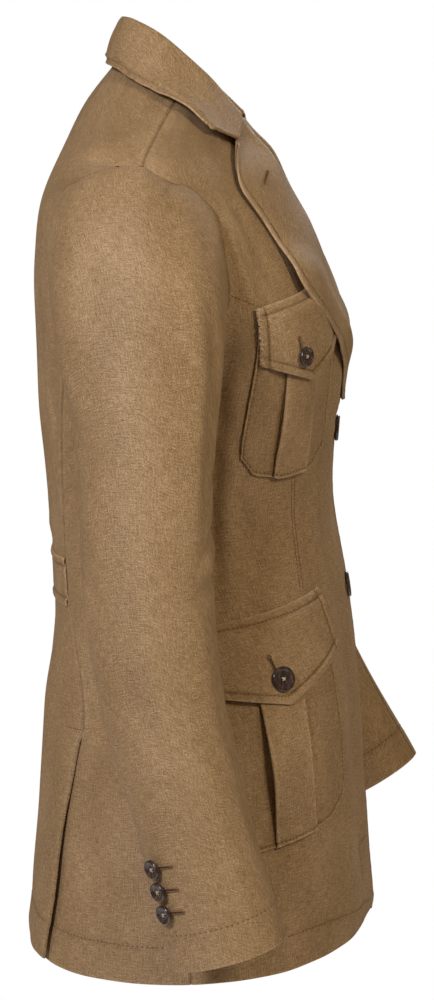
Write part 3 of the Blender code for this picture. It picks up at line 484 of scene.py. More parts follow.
def along(points, t, soft=True):
    """Points at shares t of a line's length, through its corners or in a soft curve."""
    p = np.array(points, float)
    run = running(p * np.array([DEGREE, 1.0]) if p.shape[1] == 2 else p)
    return (read_smooth if soft and len(p) > 2 else read_off)(t, run / run[-1], p)


def joined(parts, t):
    """Several lines end to end; each part is (share of t, points)."""
    out, start = None, 0.0
    for share, points in parts:
        value = along(points, np.clip((t - start) / share, 0.0, 1.0))
        out = value if out is None else np.where((t > start)[:, None], value, out)
        start += share
    return out


def spread(size, step, low=True, high=True):
    """Grid positions from 0 to 1 over a size in metres: even steps, with close ones at its borders."""
    close = np.array(EDGE_STEPS) / size
    first = close if low else np.array([0.0])
    last = 1.0 - close[::-1] if high else np.array([1.0])
    count = max(int(round((last[0] - first[-1]) * size / step)), 2)
    return np.concatenate([first, np.linspace(first[-1], last[0], count + 1)[1:-1], last])


def coons(near, far, low, high, a, b):
    """A grid between four border lines: the two ruled surfaces added, less their corners' surface."""
    a = a[:, None, None]
    b = b[None, :, None]
    sides = (1 - a) * near[None, :, :] + a * far[None, :, :]
    ends = (1 - b) * low[:, None, :] + b * high[:, None, :]
    corners = ((1 - a) * (1 - b) * low[0] + a * (1 - b) * low[-1]
               + (1 - a) * b * high[0] + a * b * high[-1])
    return sides + ends - corners


def facing(grid, outward):
    """A grid's unit normals, the cross product of its row and column differences, turned to the
    outward side, and whether they had to be turned."""
    n = unit(np.cross(np.gradient(grid, axis=0), np.gradient(grid, axis=1)))
    turned = outward is not None and (n * outward).sum() < 0
    return (-n if turned else n), turned


def borders(grid):
    """Each grid point's distance to the four borders, named near, far, low and high."""
    run_a, run_b = running(grid), running(grid.transpose(1, 0, 2)).T
    return {"near": run_a, "far": run_a[-1:] - run_a, "low": run_b, "high": run_b[:, -1:] - run_b}


def edge_form(distance, sort, sizes):
    """How a border shapes the cloth beside it. A seam dips in a curve; a turned edge swells and has
    a groove along its stitches, as a patch has a small one; a hem is thicker up to its stitches."""
    if sort == "seam":
        return -sizes.seam_sink * (1 - np.clip(distance / 0.0030, 0, 1)) ** 2
    if sort == "turned":
        swell = 0.00085 * np.sin(math.pi * np.clip(distance / sizes.topstitch, 0, 1)) ** 0.8
        return swell - 0.00095 * bell(distance, sizes.topstitch, 0.0010)
    if sort == "patch":
        return 0.00040 * bell(distance, 0.0, 0.0012) - 0.00035 * bell(distance, PATCH_STITCH, 0.0008)
    step = 0.00045 * (1 - ease(distance, sizes.hem - 0.0015, sizes.hem + 0.0015))
    return step - 0.00040 * bell(distance, sizes.hem, 0.0014)


def pucker(distance, run, reach):
    """Small ripples of a sewn line: two sines of the length along it, fading away from it."""
    turn = run * 2 * math.pi
    wave = np.sin(turn / 0.0105 + 1.7 * np.sin(run / 0.043)) + 0.6 * np.sin(turn / 0.0062)
    return 0.00010 * wave * bell(distance, 0.0, reach)


def edges_lift(grid, kinds, sizes):
    """All four borders' forms and ripples together, and each point's tone by its edges: plus where an edge
    is paler, as rubbing and painted highlight, minus for painted shade in a seam or a row of stitches."""
    # Where the ripples lie, their reach and size, and the bands of tone as (amount, place, width): plus is
    # rubbing with painted highlight, minus is painted shade.
    marks = {
        "seam": (0.0, 0.0065, 1.0, ((-1.3, 0.0, 0.0013), (0.35, 0.0034, 0.0016))),
        "turned": (sizes.topstitch, 0.004, 1.3, ((1.3, 0.0, 0.0013), (-1.7, sizes.topstitch, 0.0009))),
        "patch": (0.0, 0.005, 1.5, ((0.9, 0.0, 0.0009), (-0.9, PATCH_STITCH, 0.0008))),
        "hem": (sizes.hem, 0.005, 1.5, ((0.5, 0.0, 0.0012), (-0.7, sizes.hem, 0.0011))),
    }
    near_by = borders(grid)
    lift, wear_and_painted_light = np.zeros(grid.shape[:2]), np.zeros(grid.shape[:2])
    for name, sort in kinds.items():
        distance = near_by[name]
        run = near_by["low" if name in ("near", "far") else "near"]
        place, reach, size, bands = marks[sort]
        lift += edge_form(distance, sort, sizes) + size * pucker(distance - place, run, reach)
        for amount, middle, width in bands:
            wear_and_painted_light += amount * bell(distance, middle, width)
    return lift, wear_and_painted_light


def rim_indices(na, nb):
    """The border of a grid as one loop of rows and columns."""
    i = np.concatenate([np.arange(na), np.full(nb - 1, na - 1), np.arange(na - 2, -1, -1),
                        np.zeros(nb - 2, int)])
    j = np.concatenate([np.zeros(na, int), np.arange(1, nb), np.full(na - 1, nb - 1),
                        np.arange(nb - 2, 0, -1)])
    return i, j


def add_object(name, mesh, material):
    """A smooth object of a mesh, with its material."""
    mesh.shade_smooth()
    mesh.materials.append(material)
    item = bpy.data.objects.new(name, mesh)
    bpy.context.scene.collection.objects.link(item)
    return item


def add_faces(name, points, faces, material):
    """An object of points and several arrays of faces, each with its own number of corners."""
    mesh = bpy.data.meshes.new(name)
    mesh.from_pydata(points.tolist(), [], [face for part in faces for face in part.tolist()])
    mesh.update()
    return add_object(name, mesh, material)


def add_cloth(name, points, quads, material, uv, wear_and_painted_light):
    """An object of four-cornered faces, with its UV map and its attribute of edge rubbing, painted highlight
    and painted shade.
    """
    mesh = bpy.data.meshes.new(name)
    flat = quads.astype(np.int32).ravel()
    mesh.vertices.add(len(points))
    mesh.vertices.foreach_set("co", points.astype(np.float32).ravel())
    mesh.loops.add(len(flat))
    mesh.loops.foreach_set("vertex_index", flat)
    mesh.polygons.add(len(quads))
    mesh.polygons.foreach_set("loop_start", np.arange(0, len(flat), 4, dtype=np.int32))
    mesh.update(calc_edges=True)
    mesh.uv_layers.new(name="cloth").data.foreach_set("uv", uv[flat].astype(np.float32).ravel())
    mesh.attributes.new("wear_and_painted_light", "FLOAT", "POINT").data.foreach_set("value", wear_and_painted_light.astype(np.float32))
    return add_object(name, mesh, material)


def shell(name, grid, uv, wear_and_painted_light, wall, outward):
    """A closed cloth shell: the grid, the grid moved in by the wall, and a half-round rim between,
    whose points are border - n wall (1 - cos t) / 2 + out wall 0.4 sin t."""
    n, turned = facing(grid, outward)
    na, nb = grid.shape[:2]
    inner = grid - n * wall
    i, j = rim_indices(na, nb)
    out = np.zeros((len(i), 3))
    out += np.where((i == 0)[:, None], grid[0, j] - grid[1, j], 0)
    out += np.where((i == na - 1)[:, None], grid[-1, j] - grid[-2, j], 0)
    out += np.where((j == 0)[:, None], grid[i, 0] - grid[i, 1], 0)
    out += np.where((j == nb - 1)[:, None], grid[i, -1] - grid[i, -2], 0)
    t = np.array([0.25, 0.5, 0.75])[:, None, None] * math.pi
    rings = grid[i, j] - n[i, j] * wall * (1 - np.cos(t)) / 2 + unit(out) * wall * 0.4 * np.sin(t)
    base, count = na * nb, len(i)
    index = np.arange(base).reshape(na, nb)
    faces = np.stack([index[:-1, :-1], index[1:, :-1], index[1:, 1:], index[:-1, 1:]], -1).reshape(-1, 4)
    rim = index[i, j]
    chain = [rim] + [2 * base + k * count + np.arange(count) for k in range(3)] + [base + rim]
    rims = [np.stack([p, q, np.roll(q, -1), np.roll(p, -1)], -1) for p, q in zip(chain[:-1], chain[1:])]
    quads = np.concatenate([faces, base + faces[:, ::-1]] + rims)
    if turned:
        quads = quads[:, ::-1]
    points = np.concatenate([v.reshape(-1, 3) for v in (grid, inner, rings)])
    uv, wear_and_painted_light = uv.reshape(-1, 2), wear_and_painted_light.reshape(-1)
    return add_cloth(name, points, quads, linen(), np.concatenate([uv, uv] + [uv[rim]] * 3),
                     np.concatenate([wear_and_painted_light, wear_and_painted_light * 0 - 0.1] + [wear_and_painted_light[rim]] * 3))


def finish(item, nodes=()):
    """Hangs a piece on the jacket's one body and hides the imported solids it stands for."""
    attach(item, "root")
    if nodes:
        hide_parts(*nodes)


def cloth_piece(name, grid, kinds, sizes, wall, outward=None, uv=None, extra_painted_light=0.0):
    # The edges' tone here holds rubbing, painted highlight and painted shade.
    lift, wear_and_painted_light = edges_lift(grid, kinds, sizes)
    shaped = grid + facing(grid, outward)[0] * lift[..., None]
    if uv is None:
        near_by = borders(grid)
        uv = np.stack([near_by["near"], near_by["low"]], -1)
    item = shell(name + "_linen", shaped, uv, wear_and_painted_light + extra_painted_light, wall, outward)
    finish(item, [name])
    MADE[name] = {"grid": shaped, "normal": facing(shaped, outward)[0], "base": grid}


def hem_points(first, last, t):
    """The hem line between two angles, as (angle, height) at shares t."""
    table = np.array(HEM_LINE)
    angle = first + (last - first) * t
    return np.stack([angle, smooth(angle, table[:, 0], table[:, 1])], -1)


def lap_lift(distance, height):
    """How far the right front stands off the left one where it laps over it."""
    low = 0.0026 + 0.0022 * ease(height, -0.2590, -0.2460)
    return low * (1 - ease(distance, 0.028, 0.062)) * (1 - ease(height, -0.182, -0.140))


def inset(grid, names, gap):
    """Moves the named borders of a grid inward by a gap, at most half a step."""
    grid = grid.copy()
    for name in names:
        rows = grid if name in ("near", "far") else grid.transpose(1, 0, 2)
        edge, inner = (0, 1) if name in ("near", "low") else (-1, -2)
        step = rows[inner] - rows[edge]
        rows[edge] += unit(step) * np.minimum(gap, 0.5 * np.linalg.norm(step, axis=-1, keepdims=True))
    return grid


def front_panel(word, side, sizes):
    """A front panel: a Coons patch of the front edge and roll line, hem, side seam with armhole and
    shoulder, and neck seam, laid on the form. The right one laps over the left."""
    a, b = spread(0.30, 0.0052), spread(0.72, 0.0050)
    far = joined([(0.60, SIDE_SEAM), (0.30, ARMHOLE_FRONT), (0.10, SHOULDER[::-1])], b)
    near = joined([(0.60, as_angles(FRONT_EDGE)), (0.40, as_angles(ROLL_LINE))], b)
    low = hem_points(near[0, 0], 90.0, a)
    high = along(NECK_FRONT, a)
    low[0], high[0], high[-1] = near[0], near[-1], far[-1]
    flat = coons(near, far, low, high, a, b)
    distance = distance_at(flat[..., 0], flat[..., 1])
    grid, outward = on_form(flat, lap_lift(distance, flat[..., 1]) if side < 0 else 0.0, side)
    grid = inset(grid, ("near", "far", "high"), SEAM_GAP)
    cloth_piece("front_" + word, grid, {"far": "seam", "high": "seam", "low": "hem", "near": "turned"},
                sizes, sizes.wall, outward, np.stack([distance, borders(grid)["low"]], -1))


def seam_place(heights):
    """The side-back seam at given side heights, as (angle, height)."""
    table = np.array(SIDE_BACK_SEAM)
    return np.stack([smooth(heights, table[:, 1], table[:, 0]), heights], -1)


def side_panel(word, side, sizes):
    """A side panel between the side seam and the side-back seam, running on under the vent's lap."""
    a, b = spread(0.12, 0.0050), spread(0.51, 0.0050)
    node = along(ARMHOLE_BACK, np.array([ARMHOLE_NODE]))[0]
    foot = SIDE_BACK_SEAM[0][1]
    far = seam_place(foot + (node[1] - foot) * b)
    lap = 8.0 * (1 - ease(far[:, 1], VENT_TOP - 0.004, VENT_TOP))
    far[-1] = node
    far[:, 0] += lap
    near = read_off(b, [0.0, 1.0], np.array(SIDE_SEAM))
    low = hem_points(near[0, 0], far[0, 0], a)
    flat = coons(near, far, low, along(ARMHOLE_BACK, a * ARMHOLE_NODE), a, b)
    grid, outward = on_form(flat, 0.0, side)
    cloth_piece("side_panel_" + word, inset(grid, ("near", "far", "high"), SEAM_GAP),
                {"near": "seam", "far": "seam", "high": "seam", "low": "hem"}, sizes, sizes.wall, outward)


def vent_lift(inward, heights):
    """How far the back's lap stands off the side panel below the top of the vent."""
    below = 1 - ease(heights, VENT_TOP - 0.0025, VENT_TOP)
    return (0.0024 + 0.0030 * ease(-heights, 0.49, 0.60)) * below * (1 - ease(inward, 0.022, 0.066))


def back_half(side, a, b):
    """One half of the back: a Coons patch of the centre line, hem, side-back seam with armhole and
    shoulder, and neck seam, lifted at the vent."""
    node = along(ARMHOLE_BACK, np.linspace(ARMHOLE_NODE, 1, 61))
    seam = seam_place(np.linspace(-0.6570, -0.1532, 160))
    seam[-1] = node[0]
    line = np.concatenate([seam, node[1:], along(SHOULDER[::-1], np.linspace(0, 1, 31))[1:]])
    run = running(line * np.array([0.0015, 1.0]))
    far = read_off(b, run / run[-1], line)
    middle = np.stack([np.full(len(b), 180.0), HEM_LINE[-1][1] * (1 - b)], -1)
    high = along(((180.0, 0.0), (90.0, 0.0)), a)
    high[-1] = far[-1]
    flat = coons(middle, far, hem_points(180.0, far[0, 0], a), high, a, b)
    inward = (flat[..., 0] - far[None, :, 0]) * LAP_DEGREE
    grid, outward = on_form(flat, vent_lift(inward, far[None, :, 1]), side)
    return inset(grid, ("far", "high"), SEAM_GAP), outward


def back_panel(sizes):
    """The back, both halves in one grid across the centre line."""
    a, b = spread(0.22, 0.0052, low=False), spread(0.70, 0.0046)
    grid, outward = (np.concatenate([right[:0:-1], left])
                     for right, left in zip(back_half(-1, a, b), back_half(1, a, b)))
    cloth_piece("back", grid, {"near": "seam", "far": "seam", "high": "seam", "low": "hem"}, sizes,
                sizes.wall, outward)


def through(rows, count, close):
    """A finer set of rows: a cubic through the given rows over their mean running length, with extra
    rows at the given distances from the last one. Returns them, their places and those given."""
    run = np.concatenate([[0.0], np.cumsum(np.linalg.norm(np.diff(rows, axis=0), axis=-1).mean(axis=1))])
    s = np.linspace(0, run[-1], count)
    extra = run[-1] - np.array(close)
    s = np.sort(np.unique(np.concatenate([s[s < extra.min() - 0.001], extra])))
    fine = read_smooth(s, run, rows.reshape(len(rows), -1))
    return fine.reshape((len(s),) + rows.shape[1:]), s, run


def fold_out(fold):
    """The level outward direction at points of the collar's fold."""
    return unit(np.stack([fold[..., 0], (fold[..., 1] - 0.02) * 0.9, 0 * fold[..., 0]], -1))


def notch_point(side):
    """Where the collar meets the lapel at the notch, on the left side's half of the form."""
    return lifted(angle_at(*COLLAR_NOTCH), COLLAR_NOTCH[1], 0.0072, side) * mirror(side)


def lapel(word, side, sizes):
    """A lapel: a half-round turn over the front's roll line, then rows that run to its edge and rise
    over the chest flap, with a cubic through them all. Its upper end is sewn to the collar."""
    b = spread(0.30, 0.0042)
    roll = along(as_angles(ROLL_LINE), 0.03 + 0.95 * b)
    edge = along(as_angles(LAPEL_EDGE), 0.03 + 0.96 * b)
    size = 0.20 + 0.45 * ease(roll[:, 1], -0.215, -0.160) + 0.35 * ease(roll[:, 1], -0.080, -0.045)
    gorge_rise = 0.0045 * bell(roll[:, 1], -0.031, 0.018)
    flip = mirror(side)

    def laid(place, rise):
        """Places on the front that carries the lapel, at a rise above it, on the left half."""
        if side < 0:
            rise = rise + lap_lift(distance_at(place[:, 0], place[:, 1]), place[:, 1])
        return lifted(place[:, 0], place[:, 1], rise, side) * flip

    start = laid(roll, 0.0)
    ahead = roll + (edge - roll) * 0.02
    across = unit(body(ahead[:, 0], ahead[:, 1]) - body(roll[:, 0], roll[:, 1]))
    up = body_normal(roll[:, 0], roll[:, 1])
    full = size + gorge_rise / LAPEL_TURN[-1][2]
    rows = [start + across * out + up * (high + round_up * full[:, None])
            for out, high, round_up in LAPEL_TURN]
    for share in (0.16, 0.28, 0.40, 0.52, 0.64, 0.76, 0.88, 0.96, 1.0):
        place = roll + (edge - roll) * share
        level = place[:, 1]
        over_flap = ease(share, 0.30, 0.75) * ease(level, -0.225, -0.185) * (1 - ease(level, -0.135, -0.105))
        belly = 0.0032 * (1 - 0.6 * ease(share, 0.6, 1.0)) + 0.0014 * math.sin(math.pi * share)
        rise = 0.0022 + belly * size + 0.0056 * over_flap
        rise = rise + 0.0010 * share * (1 - over_flap) * ease(level, -0.19, -0.12)
        rise = rise + 0.0008 * np.sin(level * 55.0 + 4.0 * share) * share
        rows.append(laid(place, rise + gorge_rise * (1 - ease(share, 0.0, 0.8))))
    grid, s, run = through(np.array(rows), 44, EDGE_STEPS)
    fold = np.array(COLLAR_FOLD[0]) + NECK_SWING * side * 0.6
    gorge = fold + fold_out(fold) * FALL_TOP[0] + np.array([0.0, 0.0, FALL_TOP[1]])
    share = np.interp(s, run[4:], np.linspace(0, 1, len(run) - 4))
    seam = gorge + (notch_point(side) - gorge) * share[:, None] - up[-1] * 0.0003
    sewn = (s >= run[3])[:, None] * (seam - grid[:, -1])
    grid += sewn[:, None, :] * (ease(b, 0.80, 1.0) ** 1.5)[None, :, None]
    cloth_piece("lapel_" + word, grid * flip, {"far": "turned", "high": "seam"}, sizes, sizes.faced_wall,
                np.broadcast_to(up[None] * flip, grid.shape))


def collar_side(side):
    """One half of the collar, from its front end to the nape: a stand from the neck seam, a fold,
    and a fall whose front end runs from the gorge to the notch and on to the point. A cubic goes
    through its rows."""
    b = spread(0.235, 0.0045, high=False)
    flip = mirror(side)
    rise = np.interp(b, [0, 0.12, 0.3, 1], [0.0022, 0.0010, -0.0002, -0.0004])
    foot = on_form(along(COLLAR_FOOT, b), rise, side)[0] * flip
    swing = (0.6 + 0.5 * ease(b, 0.0, 0.25)) * (1 - ease(b, 0.45, 1.0))
    fold = along(COLLAR_FOLD, b) + NECK_SWING * side * swing[:, None]
    stand_off = 0.0046 + 0.0044 * (1 - ease(b, 0.0, 0.50)) - 0.0022 * ease(b, 0.6, 1.0)
    edge = on_form(along(COLLAR_EDGE, b), stand_off + 0.0006 * np.sin(b * 11.0), side)[0] * flip
    edge = edge + np.array([0.0, 0.0, 0.0042]) * ease(b, 0.45, 0.95)[:, None]
    out = fold_out(fold)
    out[-1] = (0.0, 1.0, 0.0)
    stand_top, crown_in, crown, fall_top = (
        fold + out * step + np.array([0.0, 0.0, up])
        for step, up in ((-0.0026, -0.0030), (-0.0012, -0.0007), (0.0004, 0.0002), FALL_TOP))
    rows = [foot, foot + (stand_top - foot) * 0.12, foot + (stand_top - foot) * 0.5,
            stand_top, crown_in, crown, fall_top]
    shares = np.array([0.15, 0.30, 0.46, 0.62, 0.78, 0.93, 1.0])
    for share in shares:
        bulge = 0.0045 * math.sin(math.pi * share) * np.interp(b, [0, 0.2, 1], [0.3, 1.0, 0.6])
        rows.append(fall_top + (edge - fall_top) * share + out * bulge[:, None])
    grid, s, run = through(np.array(rows), 34, EDGE_STEPS)
    share = np.interp(s, run[6:], np.concatenate([[0.0], shares]))
    end_line = along(np.array([fall_top[0], notch_point(side), edge[0]]), share, soft=False)
    shift = np.where((s >= run[6])[:, None], end_line - grid[:, 0], 0.0)
    grid += shift[:, None, :] * (1 - ease(b, 0.0, 0.30))[None, :, None]
    return grid * flip


def collar(sizes):
    """The whole collar: its two halves joined at the nape."""
    right, left = collar_side(-1), collar_side(1)
    middle = (right[:, -1:] + left[:, -1:]) / 2
    fade = ease(spread(0.235, 0.0045, high=False), 0.80, 1.0)[None, :, None]
    right += (middle - right[:, -1:]) * fade
    left += (middle - left[:, -1:]) * fade
    cloth_piece("collar", np.concatenate([right, left[:, -2::-1]], axis=1),
                {"far": "turned", "low": "patch", "high": "patch"}, sizes, sizes.faced_wall)


def armhole_loop(turn):
    """The armhole at turns round the sleeve: 0 shoulder, 90 front, 180 under the arm, 270 back."""
    turn = np.mod(turn, 360.0)
    front = along(ARMHOLE_FRONT[::-1], np.clip(turn / 180.0, 0, 1))
    back = along(ARMHOLE_BACK[::-1], np.clip((360.0 - turn) / 180.0, 0, 1))
    return np.where((turn <= 180.0)[:, None], front, back)


def sleeve_section(table, height, turn):
    """A point of the sleeve's section at a height: an ellipse leaned about its side axis."""
    height, turn = as_pair(height, turn)
    depth, side, half_depth, half_side, lean = (
        smooth(height, table[::-1, 0], table[::-1, j]) for j in range(1, 6))
    t, tilt = np.radians(turn), np.radians(lean)
    forward = half_depth * np.sin(t)
    return np.stack([side + half_side * np.cos(t), depth - forward * np.cos(tilt),
                     height + forward * np.sin(tilt)], -1)


def sleeve_grid(table, turn, side):
    """The sleeve over a range of turns: a cubic cap that leaves the armhole outward and meets the
    first section, then sections down to the cuff, with folds and the gathers of the cap."""
    place = armhole_loop(turn)
    normal = body_normal(place[:, 0], place[:, 1])
    start = body(place[:, 0], place[:, 1]) + normal * relief(place[:, 0], place[:, 1], side)[:, None]
    ring = sleeve_section(table, table[0, 0], turn)
    t = np.radians(turn)
    top = np.clip(np.cos(t), 0.0, 1.0)
    under = np.clip(-np.cos(t), 0.0, 1.0)
    away = unit(np.stack([0.95 - 0.12 * under, 0.10 * -np.sin(t), -0.12 - 0.22 * top - 0.35 * under], -1))
    gap = np.linalg.norm(ring - start, axis=-1, keepdims=True) * (1 + 0.4 * under[:, None])
    start = start - away * 0.0008 + normal * 0.0004
    below = unit(sleeve_section(table, table[0, 0] - 0.02, turn) - ring)
    s = np.concatenate([[0.0, 0.003, 0.008, 0.016, 0.028, 0.042, 0.060], np.linspace(0.085, 1.0, 30)])
    s = s[:, None, None]
    cap = ((2 * s**3 - 3 * s**2 + 1) * start + (s**3 - 2 * s**2 + s) * gap * away
           + (3 * s**2 - 2 * s**3) * ring + (s**3 - s**2) * gap * below * 0.9)
    drop = table[0, 0] - table[-1, 0]
    heights = table[0, 0] - drop * spread(drop, 0.0052, low=False)[1:]
    grid = np.concatenate([cap, sleeve_section(table, heights[:, None], turn[None, :])]).transpose(1, 0, 2)
    middle = sleeve_section(table, -0.30, 0.0) - np.array([0.03, 0, 0])
    n = facing(grid, grid - middle)[0]
    shift, share = SLEEVE_FOLD_SIDES[side]
    folds = SLEEVE_FOLD_DEPTH * share * sum(
        crease(turn[:, None] + lap, grid[..., 2] + shift, row, SLEEVE_DEGREE)
        for row in SLEEVE_FOLDS for lap in (-360.0, 0.0, 360.0))
    run = borders(grid)["low"]
    ripple = np.sin(turn[:, None] / 19.0 * 2 * math.pi + 0.8 * np.sin(turn[:, None] / 31.0))
    folds += 0.00045 * ripple * bell(run, 0.011, 0.011) * top[:, None]
    folds += 0.00030 * np.sin(turn[:, None] * 0.07 + grid[..., 2] * 52.0) * ease(run, 0.02, 0.06)
    folds += 0.0016 * top[:, None] * bell(run, 0.016, 0.014)
    return grid + n * folds[..., None], n


def sleeve_piece(name, side, first, last, sizes):
    """One piece of a two-piece sleeve between its two seams."""
    turn = first + (last - first) * spread(0.33 * (last - first) / 360.0, 0.0042)
    grid, n = sleeve_grid(SLEEVES[side], turn, side)
    cloth_piece(name, inset(grid * mirror(side), ("near", "far"), SEAM_GAP / 2),
                {"near": "seam", "far": "seam", "low": "seam", "high": "hem"}, sizes, sizes.wall,
                n * mirror(side))


def pleat_profile(table, width):
    """Across a pocket: (share, lift, on_pleat) of one continuous cloth that runs under the pleat's
    first edge, turns back, runs over the pleat, and turns back under its second edge."""
    first, last = table["pleat"]
    tuck, nose = 0.0050 / width, 0.0004 / width
    flat_near = spread(first * width, 0.0045, high=False)[:-1] * first
    fold_in = ((first - 2 * nose, 0.0, 0.0), (first + tuck * 0.5, 0.0, 0.0), (first + tuck, 0.06, 0.0),
               (first + tuck * 1.06, 0.18, 0.0), (first + tuck, 0.30, 0.1), (first + tuck * 0.5, 0.36, 0.3),
               (first + nose, 0.42, 0.8), (first - nose, 0.60, 1.0), (first - nose * 0.6, 0.84, 1.0),
               (first + nose, 0.97, 1.0), (first + 4 * nose, 1.0, 1.0))
    over = np.linspace(first + 10 * nose, last - 10 * nose, 12)
    flat_far = 1 - spread((1 - last) * width, 0.0045, high=False)[:-1][::-1] * (1 - last)
    profile = [(s, 0.0, 0.0) for s in flat_near] + list(fold_in) + [(s, 1.0, 1.0) for s in over]
    profile += [(first + last - s, lift, on) for s, lift, on in reversed(fold_in)]
    return np.array(profile + [(s, 0.0, 0.0) for s in flat_far])


def pocket(name, side, table, sizes):
    """A patch pocket: a Coons patch with clipped lower corners, carried over the pleat's profile. The
    pleat's folded edges get a painted highlight, and the cloth tucked under them and the flat cloth beside
    them get painted shade."""
    near, far, foot = (as_angles(table[key]) for key in ("near", "far", "foot"))
    width = float(distance_at(far[-1, 0], far[-1, 1]) - distance_at(near[-1, 0], near[-1, 1]))
    first, last = table["pleat"]
    profile = pleat_profile(table, width)
    a, stand, on_pleat = profile.T
    b = spread(table["depth"], 0.0045, low=False)
    share = (foot[:, 0] - foot[0, 0]) / (foot[-1, 0] - foot[0, 0])
    low = read_off(a, [0, 1], np.stack([near[0], far[0]]))
    high = read_off(np.interp(a, [0.0, first, last, 1.0], [0.0, *table["pleat_foot"], 1.0]), share, foot)
    flat = coons(along(near, b, soft=False), along(far, b, soft=False), low, high, a, b)
    open_up = table["open"] * on_pleat[:, None] * (ease(b, 0.22, 0.66) * (1 - ease(b, 0.62, 1.02)))[None, :]
    rear = ease(a, first, last)[:, None] ** 1.5
    sag = 0.0007 * np.sin(math.pi * np.clip(b, 0, 1))[None, :] * (1 - on_pleat[:, None])
    lift = table["lift"] + table["rise"] * stand[:, None] + open_up * (0.12 + 0.88 * rear)
    grid, outward = on_form(flat, lift + sag * ease(b, 0.1, 0.5)[None, :], side)
    beside = np.minimum(np.abs(a - first), np.abs(a - last)) * width
    # Painted highlight along the pleat's folded edges, painted shade on the tucked cloth and on the cloth
    # beside the folds.
    painted_fold_highlight = 1.1 * bell(beside, 0.0012, 0.0009) * (stand > 0.9)
    shade = -1.5 * ((stand > 0.0) & (stand < 0.5)) - 1.5 * bell(beside, 0.0, 0.0016) * (stand == 0.0)
    cloth_piece(name, grid, {"near": "patch", "far": "patch", "high": "patch"}, sizes, POCKET_WALL, outward,
                extra_painted_light=(painted_fold_highlight + shade)[:, None])


def flap(name, side, table, sizes):
    """A pointed flap: straight rules from its top to its lower edge, which comes to a point in the
    middle, standing off the pocket in a soft curve."""
    half = spread(table["width"] / 2, 0.0036, high=False) / 2
    a = np.concatenate([half, (1 - half[::-1])[1:]])
    b = spread(0.058, 0.0030)
    near, middle, far = (as_angles(table[key]) for key in ("near", "middle", "far"))
    line = np.abs(a - 0.5) * 2
    sides = np.where((a < 0.5)[:, None, None], near[None], far[None])
    ends = middle[None] + (sides - middle[None]) * line[:, None, None]
    flat = ends[:, :1] + (ends[:, 1:] - ends[:, :1]) * b[None, :, None]
    full = 0.0030 + 0.0034 * ease(1 - line, 0.0, 0.55)
    lift = table["lift"] + full[:, None] * ease(b, 0.0, 0.20)[None, :]
    lift = lift + 0.0007 * np.sin(a * 9.0 + 1.0)[:, None] * ease(b, 0.5, 1.0)[None, :]
    grid, outward = on_form(flat, lift, side)
    cloth_piece(name, grid, dict.fromkeys(BORDERS, "turned"), sizes, FLAP_WALL, outward)


def half_belt(sizes):
    """The belt across the back waist: a band of the form with turned edges."""
    first, last, top, width = BELT
    a, b = spread(0.23, 0.0045), spread(0.036, 0.0030)
    turn, height = as_pair((first + (last - first) * a)[:, None], (top - width * b)[None, :])
    on_right = (turn > 180.0)[..., None]
    flat = np.stack([np.where(turn > 180.0, 360.0 - turn, turn), height], -1)
    grid, outward = (np.where(on_right, right, left)
                     for right, left in zip(on_form(flat, 0.0009, -1), on_form(flat, 0.0009, 1)))
    cloth_piece("half_belt", grid, dict.fromkeys(BORDERS, "turned"), sizes, BELT_WALL, outward)


def frame_at(normal):
    """Two directions across a normal: the first level, the second pointing up the cloth."""
    normal = unit(np.asarray(normal, float))
    first = unit(np.cross((0.0, 0.0, 1.0), normal))
    return first, np.cross(normal, first), normal


def button(name, centre, normal, radius):
    """A turned button: its radius and height follow the section from its back to its middle, and
    four holes sink where the height falls by a smooth well round each hole's centre."""
    inner = np.linspace(0.46, 0.0, 17)
    section = np.concatenate([np.array(BUTTON_SECTION), np.stack([inner, 0.61 + 0 * inner], -1)])
    turn = np.linspace(0, 2 * math.pi, 65)[:-1]
    r = section[:, :1] * radius
    x, y = r * np.cos(turn), r * np.sin(turn)
    h = section[:, 1:] * BUTTON_THICK + 0 * x
    top = (np.arange(len(section)) > 12)[:, None]
    for sx, sy in ((1, 1), (1, -1), (-1, 1), (-1, -1)):
        d = np.hypot(x - sx * HOLE_STEP, y - sy * HOLE_STEP)
        h = h - np.where(top, 0.0013 * (1 - ease(d, HOLE_RADIUS * 0.7, HOLE_RADIUS * 1.15)), 0.0)
    first, second, n = frame_at(normal)
    grid = centre + x[..., None] * first + y[..., None] * second + h[..., None] * n
    back, middle = (row.mean(axis=0, keepdims=True) for row in (grid[0], grid[-1]))
    points = np.concatenate([back, grid[1:-1].reshape(-1, 3), middle])
    index = 1 + np.arange((len(section) - 2) * len(turn)).reshape(-1, len(turn))
    a, b = index[:-1], index[1:]
    quads = np.stack([a, np.roll(a, -1, 1), np.roll(b, -1, 1), b], -1).reshape(-1, 4)
    fans = [np.stack([np.full(len(turn), apex), p, q], -1)
            for apex, p, q in ((0, np.roll(index[0], -1), index[0]),
                               (len(points) - 1, index[-1], np.roll(index[-1], -1)))]
    finish(add_faces(name + "_resin", points, [quads] + fans, horn_resin()), [name])


